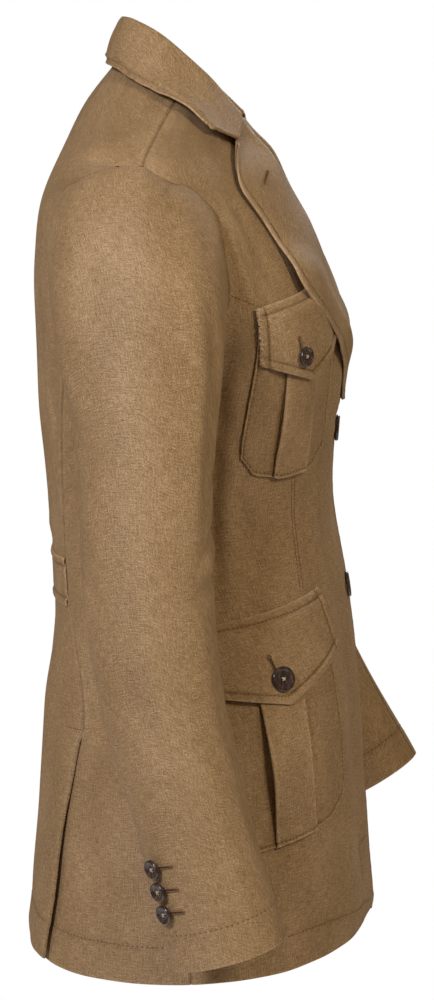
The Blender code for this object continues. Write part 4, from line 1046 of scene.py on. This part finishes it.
def tubes(paths, radii):
    """Round tubes carried along paths, each a (n, 3) array, all in one pair of points and faces. A
    ring of six points lies across the path at each point, and the ends close to a small ring."""
    points, faces, start = [], [], 0
    turn = (np.arange(6) * 2 * math.pi / 6)[None, :, None]
    for path, radius in zip(paths, radii):
        tangent = unit(np.gradient(path, axis=0))
        level = np.abs(tangent[:, 2:]) < 0.85
        first = unit(np.cross(tangent, np.where(level, (0.0, 0.0, 1.0), (1.0, 0.0, 0.0))))
        second = np.cross(tangent, first)
        size = np.broadcast_to(radius, len(path)).copy()
        size[[0, -1]] *= 0.15
        ring = path[:, None] + size[:, None, None] * (
            np.cos(turn) * first[:, None] + np.sin(turn) * second[:, None])
        index = start + np.arange(len(path) * 6).reshape(-1, 6)
        p, q = index[:-1], index[1:]
        faces.append(np.stack([p, np.roll(p, -1, 1), np.roll(q, -1, 1), q], -1).reshape(-1, 4))
        faces += [cap[[[0, 1, 2, 3], [0, 3, 4, 5]]] for cap in (index[0][::-1], index[-1])]
        points.append(ring.reshape(-1, 3))
        start += len(path) * 6
    return np.concatenate(points), [np.concatenate(faces)]


def lens_stitches(points, normals, pitch, reach, width, height):
    """Stitches along a line: at every pitch a small lens of thread, its two ends in the cloth, with
    rings at 0.30 of its length either side of its middle."""
    run = running(points)
    count = max(int(run[-1] / pitch), 1)
    middle = (np.arange(count) + 0.5) * run[-1] / count
    behind, at, ahead = (read_off(middle + step, run, points) for step in (-0.0008, 0.0, 0.0008))
    n = unit(read_off(middle, run, normals))
    tangent = unit(ahead - behind)
    wide = np.cross(n, tangent)
    sway = 1 + 0.12 * np.sin(middle * 3700.0)[:, None]
    local = [at + tangent * share * reach * sway + wide * w * width + n * h * height
             for share in (-0.30, 0.30)
             for w, h in ((-1, 0.15), (-0.55, 1.0), (0.55, 1.0), (1, 0.15), (0.6, -0.5), (-0.6, -0.5))]
    local += [at + tangent * way * reach * 0.56 * sway - n * 0.0002 for way in (-1, 1)]
    ring = np.arange(6)
    ahead_ring = np.roll(ring, -1)
    quads = np.stack([ring, ahead_ring, 6 + ahead_ring, 6 + ring], -1)
    caps = np.concatenate([np.stack([0 * ring + 12, ahead_ring, ring], -1),
                           np.stack([0 * ring + 13, 6 + ring, 6 + ahead_ring], -1)])
    base = np.arange(count)[:, None, None] * 14
    return np.stack(local, 1).reshape(-1, 3), (base + quads).reshape(-1, 4), (base + caps).reshape(-1, 3)


def sew(name, lines, pitch, reach=0.0023, width=0.00050, height=0.00040):
    """All the stitches of several rows as one mesh of thread."""
    points, quads, triangles, start = [], [], [], 0
    for line, normals in lines:
        p, q, t = lens_stitches(line, normals, pitch, reach, width, height)
        points.append(p)
        quads.append(q + start)
        triangles.append(t + start)
        start += len(p)
    faces = [np.concatenate(quads), np.concatenate(triangles)]
    finish(add_faces(name, np.concatenate(points), faces, topstitch_thread()))


def row_along(name, border, distance, start=0.0, end=0.0):
    """The line of a made piece at a distance from one border, between two distances from the ends,
    with its outward directions."""
    grid, normal, base = (MADE[name][key] for key in ("grid", "normal", "base"))
    if border in ("low", "high"):
        grid, normal, base = (v.transpose(1, 0, 2) for v in (grid, normal, base))
    if border in ("far", "high"):
        grid, normal, base = grid[::-1], normal[::-1], base[::-1]
    run = running(base)
    k = np.clip((run < distance).sum(axis=0), 1, len(run) - 1)
    j = np.arange(run.shape[1])
    share = np.clip((distance - run[k - 1, j]) / (run[k, j] - run[k - 1, j]), 0, 1)[:, None]
    line, n = (v[k - 1, j] * (1 - share) + v[k, j] * share for v in (grid, normal))
    run = running(line)
    keep = (run >= start) & (run <= run[-1] - end)
    return line[keep], unit(n)[keep]


def add_node(tree, kind, settings=None, links=None):
    """Adds one node, sets its properties and sockets, and links its inputs from other sockets."""
    node = tree.nodes.new(kind)
    for key, value in (settings or {}).items():
        if isinstance(key, str) and hasattr(node, key):
            setattr(node, key, value)
        else:
            node.inputs[key].default_value = value
    for key, source in (links or {}).items():
        tree.links.new(source, node.inputs[key])
    return node


def made_material(name, build):
    """The material of a name. Where there is none yet, build adds its nodes to a tree and returns
    their shader."""
    if name in bpy.data.materials:
        return bpy.data.materials[name]
    material = bpy.data.materials.new(name)
    material.use_nodes = True
    tree = material.node_tree
    tree.nodes.clear()
    add_node(tree, "ShaderNodeOutputMaterial", {}, {"Surface": build(tree).outputs["BSDF"]})
    return material


def flecked(name, low, high, grain, settings):
    """A material whose colour goes from low to high by a fine noise on Object coordinates."""
    def build(tree):
        place = add_node(tree, "ShaderNodeTexCoord").outputs["Object"]
        fleck = add_node(tree, "ShaderNodeTexNoise", grain, {"Vector": place})
        ramp = add_node(tree, "ShaderNodeValToRGB", {}, {"Fac": fleck.outputs["Fac"]})
        ramp.color_ramp.elements[0].color = (*low, 1.0)
        ramp.color_ramp.elements[1].color = (*high, 1.0)
        return add_node(tree, "ShaderNodeBsdfPrincipled", settings, {"Base Color": ramp.outputs["Color"]})
    return made_material(name, build)


def tinted(base, factor):
    """A colour made darker or paler by a factor, at most 1."""
    return [min(c * factor, 1.0) for c in base]


def linen():
    """Woven linen, a plain weave of uneven flax yarns, washed and pressed. Its slubs give short pale
    and dark streaks along both yarn directions, and the fibre ends give a soft sheen. Painted highlight
    and painted shade along edges, seams, stitch rows and pleats come in through the piece's edge attribute."""
    colours = bpy.context.scene.jacket_colours

    def build(tree):
        uv = add_node(tree, "ShaderNodeUVMap", {"uv_map": "cloth"}).outputs["UV"]
        # Yarns are 0.55 mm apart on the real cloth; they are drawn 1.1 mm apart so that they show.
        # The scales are cycles a metre, and the detail of the noise, for the warp, the weft, the
        # grain between them and the clouds that washing leaves.
        warp, weft, grain, cloud = (
            add_node(tree, "ShaderNodeTexNoise",
                     {"noise_dimensions": "2D", "Scale": 1.0, "Detail": detail, "Roughness": 0.55},
                     {"Vector": add_node(tree, "ShaderNodeMapping", {"Scale": (*scale, 1.0)},
                                         {"Vector": uv}).outputs["Vector"]}).outputs["Fac"]
            for scale, detail in (((900.0, 130.0), 2.0), ((130.0, 900.0), 2.0), ((1000.0, 900.0), 1.0),
                                  ((26.0, 17.0), 3.0)))
        # The attribute brings edge rubbing and painted highlight at edges, and painted shade in seams,
        # stitch rows and pleats.
        wear_and_painted_light = add_node(tree, "ShaderNodeAttribute", {"attribute_name": "wear_and_painted_light"}).outputs["Fac"]
        fine = add_node(tree, "ShaderNodeMath", {"operation": "ADD"}, {0: warp, 1: weft}).outputs[0]
        fine = add_node(tree, "ShaderNodeMath", {"operation": "MULTIPLY_ADD", 1: 1.3},
                        {0: grain, 2: fine}).outputs[0]
        grain_rubbing_and_painted_light = fine
        for source, factor in ((cloud, 0.6), (wear_and_painted_light, 0.30)):
            grain_rubbing_and_painted_light = add_node(tree, "ShaderNodeMath", {"operation": "MULTIPLY_ADD", 1: factor},
                            {0: source, 2: grain_rubbing_and_painted_light}).outputs[0]
        share = add_node(tree, "ShaderNodeMapRange", {"From Min": 1.20, "From Max": 2.70}, {"Value": grain_rubbing_and_painted_light})
        ramp = add_node(tree, "ShaderNodeValToRGB", {}, {"Fac": share.outputs["Result"]})
        ramp.color_ramp.elements[0].color = (*colours.linen_dark, 1.0)
        ramp.color_ramp.elements[1].color = (*colours.linen_light, 1.0)
        ramp.color_ramp.elements.new(0.5).color = (*colours.linen, 1.0)
        bump = add_node(tree, "ShaderNodeBump", {"Strength": 0.7, "Distance": 0.0005}, {"Height": fine})
        return add_node(tree, "ShaderNodeBsdfPrincipled",
                        {"Roughness": 0.60, "IOR": 1.50, "Specular IOR Level": 0.6, "Sheen Weight": 0.03,
                         "Sheen Roughness": 0.5, "Sheen Tint": (1.0, 0.90, 0.78, 1.0)},
                        {"Base Color": ramp.outputs["Color"], "Normal": bump.outputs["Normal"]})
    return made_material("woven_linen_plain_weave", build)


def topstitch_thread():
    """Spun polyester sewing thread, dyed to the cloth, darker than it, and flecked darker and paler by a
    fine noise.
    """
    base = bpy.context.scene.jacket_colours.thread
    return flecked("spun_thread_matched", tinted(base, 0.72), tinted(base, 1.25),
                   {"Scale": 900.0, "Detail": 1.0}, {"Roughness": 0.62, "Sheen Weight": 0.1})


def pale_yarn():
    """Raw linen yarn, unravelled from a cut edge: paler than the cloth, dull and hairy."""
    colours = bpy.context.scene.jacket_colours
    return flecked("raw_linen_yarn", colours.linen, tinted(colours.linen_light, 1.25),
                   {"Scale": 1100.0, "Detail": 1.0}, {"Roughness": 0.85, "Sheen Weight": 0.2})


def cream_thread():
    """Waxed cotton thread that holds the buttons, cream and slightly fuzzy."""
    base = bpy.context.scene.jacket_colours.cream
    return flecked("waxed_cotton_thread", tinted(base, 0.6), base, {"Scale": 1400.0, "Detail": 1.0},
                   {"Roughness": 0.7})


def slit_shadow():
    """The dark gap of a cut buttonhole: linen in deep shade."""
    return flecked("painted_slit_shade", linear("#2A1C10"), linear("#5A4226"), {"Scale": 1200.0},
                   {"Roughness": 0.9})


def floor_paint():
    """Matt studio paint, evenly rolled, with a faint unevenness."""
    base = bpy.context.scene.jacket_colours.floor
    return flecked("matt_studio_floor", tinted(base, 0.985), base, {"Scale": 4.0}, {"Roughness": 0.7})


def horn_resin():
    """Polished polyester resin that copies dark horn: streaks and clouds of paler brown under a
    clear, glossy face."""
    colours = bpy.context.scene.jacket_colours

    def build(tree):
        place = add_node(tree, "ShaderNodeTexCoord").outputs["Object"]
        drawn = add_node(tree, "ShaderNodeMapping",
                         {"Rotation": (0.4, 0.9, 0.3), "Scale": (160.0, 420.0, 160.0)}, {"Vector": place})
        streak = add_node(tree, "ShaderNodeTexNoise",
                          {"Scale": 1.0, "Detail": 3.0, "Roughness": 0.6, "Distortion": 0.7},
                          {"Vector": drawn.outputs["Vector"]})
        ramp = add_node(tree, "ShaderNodeValToRGB", {}, {"Fac": streak.outputs["Fac"]})
        dark, pale = ramp.color_ramp.elements
        dark.position, dark.color = 0.46, (*colours.button, 1.0)
        pale.position, pale.color = 0.80, (*colours.button_pale, 1.0)
        return add_node(tree, "ShaderNodeBsdfPrincipled",
                        {"Roughness": 0.24, "IOR": 1.54, "Coat Weight": 0.5, "Coat Roughness": 0.10},
                        {"Base Color": ramp.outputs["Color"]})
    return made_material("polished_horn_resin", build)


def on_flap(name, side, distance, height, extra=0.0):
    """A place on the form moved to the nearest point of a made flap, with its outward direction."""
    guess = lifted(angle_at(distance, height), height, 0.006, side)
    grid, normal = MADE[name]["grid"], MADE[name]["normal"]
    d = np.linalg.norm(grid - guess, axis=-1)
    i, j = np.unravel_index(np.argmin(d), d.shape)
    n = normal[i, j]
    return guess + n * ((grid[i, j] - guess) @ n + extra), n


def on_cuff(side, height, turn, ahead, above):
    """A place on a sleeve at a cuff button's height, by the right sleeve's, with the steps to places
    ahead of it in turn and above it, and its outward direction, all on the left half."""
    table = SLEEVES[side]
    level = table[-1, 0] + height - SLEEVE_RIGHT[-1, 0]
    here = sleeve_section(table, level, turn)
    forward = sleeve_section(table, level, turn + ahead[1]) - sleeve_section(table, level, turn + ahead[0])
    upward = (sleeve_section(table, level + above[1], turn)
              - sleeve_section(table, level + above[0], turn))
    n = unit(np.cross(forward, upward))
    return here, forward, (-n if n[0] < 0 else n)


def on_closure(angle, height, extra):
    """A place on the right front's lap near the centre, with the form's outward direction there."""
    return lifted(angle, height, float(lap_lift(0.0, height)) + extra, -1), body_normal(angle, height)


def button_places(sizes):
    """Every button as (name, centre, outward direction, radius)."""
    places = []
    for word, side in SIDES:
        for kind, spot, radius, lean in (("chest", CHEST_BUTTON, sizes.chest_radius, -0.12),
                                         ("hip", HIP_BUTTON, sizes.hip_radius, 0.24)):
            centre, n = on_flap(kind + "_flap_" + word, side, *spot, extra=0.0006)
            n = unit(n + np.array([lean * side, 0.0, 0.0]))
            places.append((kind + "_button_" + word, centre, n, radius))
        for k, height in enumerate(CUFF_BUTTON_HEIGHTS):
            here, _, n = on_cuff(side, height, CUFF_BUTTON_TURN, (-1, 1), (-0.004, 0.004))
            places.append(("cuff_button_" + word + "_" + str(k + 1), (here + n * 0.0016) * mirror(side),
                           n * mirror(side), sizes.cuff_radius))
    for k, (height, gap) in enumerate(CLOSURE_BUTTONS):
        places.append(("closure_button_" + str(k + 1), *on_closure(0.0, height, gap), sizes.closure_radius))
    return places


def buttonhole(centre, x_way, y_way, n, size, keyhole=False, slit=0.00055):
    """A buttonhole about a centre, x across and y along it, n outward: the worked edge is an oval
    path round the slit, wrapped in thread so that its radius ripples, and a keyhole has a round eye
    at one end. Returns the edge's and the slit's paths and radii."""
    t = np.linspace(0, 2 * math.pi, 161)
    x = 0.00105 * np.sign(np.sin(t)) * np.abs(np.sin(t)) ** 0.6
    y = size / 2 * np.sign(np.cos(t)) * np.abs(np.cos(t)) ** 0.75
    if keyhole:
        x = x * (1 + 1.1 * bell(y, size / 2 * 0.84, 0.0014))
    edge = centre + x_way * x[:, None] + y_way * y[:, None] + n * 0.0003
    cut = centre + y_way * (np.linspace(-0.46, 0.46, 7) * size)[:, None] + n * 0.00002
    return edge, 0.00050 * (1 + 0.28 * np.sin(t * 44)), cut, slit


def buttonholes():
    """The buttonholes of the flaps, cuffs, closure and lapels."""
    holes = []
    for word, side in SIDES:
        flip = mirror(side)
        for kind, spot, top, size in (("chest", CHEST_BUTTON, 0.0068, 0.0165),
                                      ("hip", HIP_BUTTON, 0.0088, 0.0200)):
            name = kind + "_flap_" + word
            centre, n = on_flap(name, side, spot[0] + 0.0035, spot[1] + top)
            y_way = unit(on_flap(name, side, spot[0] + 0.0045, spot[1] + top + 0.008)[0] - centre)
            holes.append(buttonhole(centre, np.cross(y_way, n), y_way, n, size, True))
        for height in CUFF_BUTTON_HEIGHTS:
            here, ahead, n = on_cuff(side, height + 0.0005, CUFF_HOLE_TURN, (0, 4), (0, 0.004))
            y_way = unit(ahead)
            holes.append(buttonhole((here + n * 0.0001) * flip, np.cross(y_way, n) * flip, y_way * flip,
                                    n * flip, 0.0150))
    for height, _ in CLOSURE_BUTTONS:
        centre, n = on_closure(1.0, height, 0.0001)
        level, upward, n = frame_at(n * mirror(-1))
        holes.append(buttonhole(centre, upward, level, n, 0.0240, True))
    for word, _ in SIDES[::-1]:
        grid, normal = MADE["lapel_" + word]["grid"], MADE["lapel_" + word]["normal"]
        near_by = borders(grid)
        # Distances of the lapel's buttonhole from its outer edge and from its upper seam.
        score = np.abs(near_by["far"] - 0.0403) + np.abs(near_by["high"] - 0.0492)
        i, j = np.unravel_index(np.argmin(score), score.shape)
        y_way = unit(grid[i - 1, j] - grid[i + 1, j])
        holes.append(buttonhole(grid[i, j], np.cross(y_way, normal[i, j]), y_way, normal[i, j], 0.0185,
                                slit=0.0003))
    return holes


def vent_rows():
    """At each vent, a short upright row on the back and the bar tack across the vent's top, a level
    line from the seam inward."""
    made, rows = MADE["back"], []
    for border, way in (("near", 1), ("far", -1)):
        line, n = row_along("back", border, 0.0190)
        keep = (line[:, 2] < -0.4865) & (line[:, 2] > -0.4905)
        rows.append((line[keep], n[keep]))
        grid, normal, base = (made[key][::way] for key in ("grid", "normal", "base"))
        j = int(np.argmin(np.abs(grid[2, :, 2] - (-0.4845))))
        run = running(base)[:, j]
        keep = (run > 0.001) & (run < 0.021)
        rows.append((grid[keep, j], normal[keep, j]))
    return [row for row in rows if len(row[0]) > 1]


def dart_rows(side):
    """The sewn lines of a front, straight on the form."""
    rows = []
    for ends in DART_ROWS:
        place = read_off(np.linspace(0, 1, 40), [0, 1], as_angles(ends))
        lift = 0.00005
        if side < 0:
            lift = lift + lap_lift(distance_at(place[:, 0], place[:, 1]), place[:, 1])
        rows.append(on_form(place, lift, side))
    return rows


class JACKET_OT_body(Operator):
    """Makes the two fronts, the two side panels and the back"""
    bl_idname = "jacket.body"
    bl_label = "Body Panels"

    def execute(self, context):
        sizes = context.scene.jacket_sizes
        back_panel(sizes)
        for word, side in SIDES:
            front_panel(word, side, sizes)
            side_panel(word, side, sizes)
        return {"FINISHED"}


class JACKET_OT_lapels(Operator):
    """Makes the two lapels"""
    bl_idname = "jacket.lapels"
    bl_label = "Lapels"

    def execute(self, context):
        for word, side in SIDES:
            lapel(word, side, context.scene.jacket_sizes)
        return {"FINISHED"}


class JACKET_OT_collar(Operator):
    """Makes the collar, stand and fall"""
    bl_idname = "jacket.collar"
    bl_label = "Collar"

    def execute(self, context):
        collar(context.scene.jacket_sizes)
        return {"FINISHED"}


class JACKET_OT_sleeves(Operator):
    """Makes the upper and under sleeves"""
    bl_idname = "jacket.sleeves"
    bl_label = "Sleeves"

    def execute(self, context):
        sizes = context.scene.jacket_sizes
        for word, side in SIDES:
            sleeve_piece("upper_sleeve_" + word, side, BACK_SLEEVE_SEAM, FRONT_SLEEVE_SEAM, sizes)
            sleeve_piece("under_sleeve_" + word, side, FRONT_SLEEVE_SEAM, 360 + BACK_SLEEVE_SEAM, sizes)
        return {"FINISHED"}


class JACKET_OT_pockets(Operator):
    """Makes the four patch pockets with their box pleats, and the flaps over them"""
    bl_idname = "jacket.pockets"
    bl_label = "Pockets and Flaps"

    def execute(self, context):
        sizes = context.scene.jacket_sizes
        for word, side in SIDES:
            pocket("chest_pocket_" + word, side, CHEST_PATCH, sizes)
            pocket("hip_pocket_" + word, side, HIP_PATCH, sizes)
            flap("chest_flap_" + word, side, CHEST_FLAP, sizes)
            flap("hip_flap_" + word, side, HIP_FLAP, sizes)
        return {"FINISHED"}


class JACKET_OT_frayed_edge(Operator):
    """Frays the rear edge of the chest flaps with loose yarns"""
    bl_idname = "jacket.frayed_edge"
    bl_label = "Frayed Edge"

    def execute(self, context):
        paths, radii = [], []
        t = np.linspace(0, 1, 160)
        for word, _ in SIDES:
            grid, normal = MADE["chest_flap_" + word]["grid"], MADE["chest_flap_" + word]["normal"]
            line, n, out = (read_off(t, np.linspace(0, 1, len(v) - 4), v[2:-2])
                            for v in (grid[-1], normal[-1], unit(grid[-1] - grid[-2])))
            for k, pitch in enumerate((23.0, 31.0, 17.0, 41.0)):
                wave = np.sin(t * pitch * 2 + k * 1.9) + 0.6 * np.sin(t * pitch * 5.3 + k)
                rise = np.cos(t * pitch * 2.6 + k * 2.3)
                paths.append(line + out * (0.0004 + 0.0009 * wave)[:, None]
                             + n * (0.0001 + 0.0006 * rise)[:, None])
                radii.append(0.00050 * (1 + 0.45 * np.sin(t * 150.0 + k)))
        finish(add_faces("frayed_yarns", *tubes(paths, radii), pale_yarn()))
        return {"FINISHED"}


class JACKET_OT_half_belt(Operator):
    """Makes the half belt across the back waist"""
    bl_idname = "jacket.half_belt"
    bl_label = "Half Belt"

    def execute(self, context):
        half_belt(context.scene.jacket_sizes)
        return {"FINISHED"}


class JACKET_OT_buttons(Operator):
    """Makes the buttons and the thread crossed in their four holes"""
    bl_idname = "jacket.buttons"
    bl_label = "Buttons"

    def execute(self, context):
        paths = []
        t = np.linspace(-1, 1, 9)[:, None]
        for name, centre, n, radius in button_places(context.scene.jacket_sizes):
            button(name, centre, n, radius)
            first, second, n = frame_at(n)
            for cross in (1, -1):
                arch = 0.0022 + 0.0006 * (1 - t**4) + 0.0003 * (cross > 0) * (1 - t**2)
                arch = arch - 0.0012 * np.abs(t) ** 8
                strand = centre + (first + cross * second) * HOLE_STEP * t + n * arch
                aside = unit(first - cross * second)
                paths += [strand + aside * slide for slide in (-0.00035, 0.0, 0.00035)]
        finish(add_faces("button_thread", *tubes(paths, [0.00024] * len(paths)), cream_thread()))
        return {"FINISHED"}


class JACKET_OT_buttonholes(Operator):
    """Works the buttonholes of the flaps, cuffs, front and lapel"""
    bl_idname = "jacket.buttonholes"
    bl_label = "Buttonholes"

    def execute(self, context):
        edges, edge_radii, cuts, cut_radii = zip(*buttonholes())
        finish(add_faces("buttonhole_thread", *tubes(edges, edge_radii), topstitch_thread()))
        # The slits are thin dark tubes of painted shade.
        finish(add_faces("buttonhole_slits", *tubes(cuts, cut_radii), slit_shadow()))
        return {"FINISHED"}


class JACKET_OT_topstitching(Operator):
    """Sews the visible rows of stitches"""
    bl_idname = "jacket.topstitching"
    bl_label = "Topstitching"

    def execute(self, context):
        sizes = context.scene.jacket_sizes
        pitch, edge, hem = sizes.stitch, sizes.topstitch, sizes.hem
        flaps, patches = [], []
        turned = [row_along("collar", "far", edge, edge, edge)]
        turned += [row_along("collar", border, edge, 0.030, edge) for border in ("low", "high")]
        hems = [row_along("back", "low", hem, 0.012, 0.012)]
        for word, _ in SIDES:
            for kind in ("chest", "hip"):
                flaps += [row_along(kind + "_flap_" + word, border, edge, edge, edge) for border in BORDERS]
                patches += [row_along(kind + "_pocket_" + word, border, PATCH_STITCH)
                            for border in ("near", "far", "high")]
            turned += [row_along("lapel_" + word, "far", edge, 0.004, edge),
                       row_along("lapel_" + word, "high", edge, 0.035, edge)]
            hems += [row_along("front_" + word, "low", hem, 0.034),
                     row_along("side_panel_" + word, "low", hem),
                     row_along("front_" + word, "near", edge, 0.01, 0.33),
                     row_along("upper_sleeve_" + word, "high", hem),
                     row_along("under_sleeve_" + word, "high", hem)]
        flaps += [row_along("half_belt", border, edge, edge, edge) for border in BORDERS]
        sew("stitches_flaps", flaps, pitch)
        sew("stitches_pockets", patches, pitch)
        sew("stitches_collar_lapels", turned, pitch)
        sew("stitches_hems", hems, pitch * 1.15)
        sew("stitches_seams", vent_rows() + dart_rows(1) + dart_rows(-1), 0.0028, 0.0026, 0.00045, 0.00030)
        return {"FINISHED"}


class JACKET_OT_stage(Operator):
    """Sets the floor, the soft studio light and the camera"""
    bl_idname = "jacket.stage"
    bl_label = "Stage"

    def execute(self, context):
        scene = context.scene
        turn = np.linspace(0, 2 * math.pi, 97)[:-1]
        # The floor is where the wearer's feet would be, a disc under the jacket.
        ring = np.stack([1.5 * np.cos(turn), 1.5 * np.sin(turn), 0 * turn - 1.42], -1)
        add_faces("floor", ring, [np.arange(96)[None, :]], floor_paint())
        # The camera sees a white room, and a weak warm one lights the cloth.
        scene.world = bpy.data.worlds.new("studio")
        scene.world.use_nodes = True
        tree = scene.world.node_tree
        tree.nodes.clear()
        seen = add_node(tree, "ShaderNodeBackground", {"Color": (1.0, 1.0, 1.0, 1.0), "Strength": 1.0})
        lit = add_node(tree, "ShaderNodeBackground", {"Color": (1.0, 0.80, 0.56, 1.0), "Strength": 0.20})
        path = add_node(tree, "ShaderNodeLightPath")
        mix = add_node(tree, "ShaderNodeMixShader", {}, {0: path.outputs["Is Camera Ray"],
                                                         1: lit.outputs[0], 2: seen.outputs[0]})
        add_node(tree, "ShaderNodeOutputWorld", {}, {"Surface": mix.outputs[0]})
        scene.view_settings.view_transform = "Standard"

        def place_item(name, data, place, aim):
            """Adds a light or the camera at a place, aimed at another."""
            item = bpy.data.objects.new(name, data)
            item.location = place
            item.rotation_euler = (Vector(aim) - item.location).to_track_quat("-Z", "Y").to_euler()
            scene.collection.objects.link(item)
            return item

        for name, place, aim, size, power, tint, glints in (
                ("key_softbox", (-2.2, 0.95, 1.00), (-0.1, 0.0, -0.25), 0.6, 47.0, (0.93, 1.0, 1.18), True),
                ("back_softbox", (0.6, 2.6, 1.2), (0.0, 0.0, -0.3), 1.4, 14.0, (1.0, 1.0, 1.05), False),
                ("front_softbox", (-1.9, -1.5, 1.1), (0.0, 0.0, -0.3), 0.6, 28.0, (1.0, 1.0, 0.98), False),
                ("far_softbox", (2.6, -0.6, 1.0), (0.0, 0.0, -0.3), 1.4, 30.0, (1.0, 1.0, 1.0), True)):
            light = bpy.data.lights.new(name, "AREA")
            light.shape = "DISK"
            light.size = size
            light.energy = power
            light.color = tint
            place_item(name, light, place, aim).visible_glossy = glints
        camera = bpy.data.cameras.new("camera")
        camera.sensor_fit = "VERTICAL"
        camera.sensor_height = 24.0
        camera.lens = 70.73
        # The camera stands 87 degrees round to the wearer's right of the front, 2.33 m away.
        turn = math.radians(-87.0)
        scene.camera = place_item("camera", camera, (2.33 * math.sin(turn), -2.33 * math.cos(turn), 0.03),
                                  (0.0, 0.0, -0.33))
        return {"FINISHED"}


PIECES = (JACKET_OT_body, JACKET_OT_lapels, JACKET_OT_collar, JACKET_OT_sleeves, JACKET_OT_pockets,
          JACKET_OT_frayed_edge, JACKET_OT_half_belt, JACKET_OT_buttons, JACKET_OT_buttonholes,
          JACKET_OT_topstitching, JACKET_OT_stage)


class JACKET_PT_panel(Panel):
    """Sizes, colours and the steps that make the jacket"""
    bl_label = "Safari Jacket"
    bl_idname = "JACKET_PT_panel"
    bl_space_type = "VIEW_3D"
    bl_region_type = "UI"
    bl_category = "Jacket"

    def draw(self, context):
        layout = self.layout
        for group in (context.scene.jacket_sizes, context.scene.jacket_colours):
            box = layout.box()
            for key in group.__annotations__:
                box.prop(group, key)
        for piece in PIECES:
            layout.operator(piece.bl_idname)


CLASSES = (JacketSizes, JacketColours) + PIECES + (JACKET_PT_panel,)


def register():
    """Adds the classes and the two groups of settings."""
    for item in CLASSES:
        bpy.utils.register_class(item)
    bpy.types.Scene.jacket_sizes = PointerProperty(type=JacketSizes)
    bpy.types.Scene.jacket_colours = PointerProperty(type=JacketColours)


def unregister():
    """Takes them away again."""
    del bpy.types.Scene.jacket_colours
    del bpy.types.Scene.jacket_sizes
    for item in reversed(CLASSES):
        bpy.utils.unregister_class(item)


def main():
    """Registers the add-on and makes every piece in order."""
    register()
    for piece in PIECES:
        getattr(bpy.ops.jacket, piece.bl_idname.split(".")[1])()


if __name__ == "__main__":
    main()
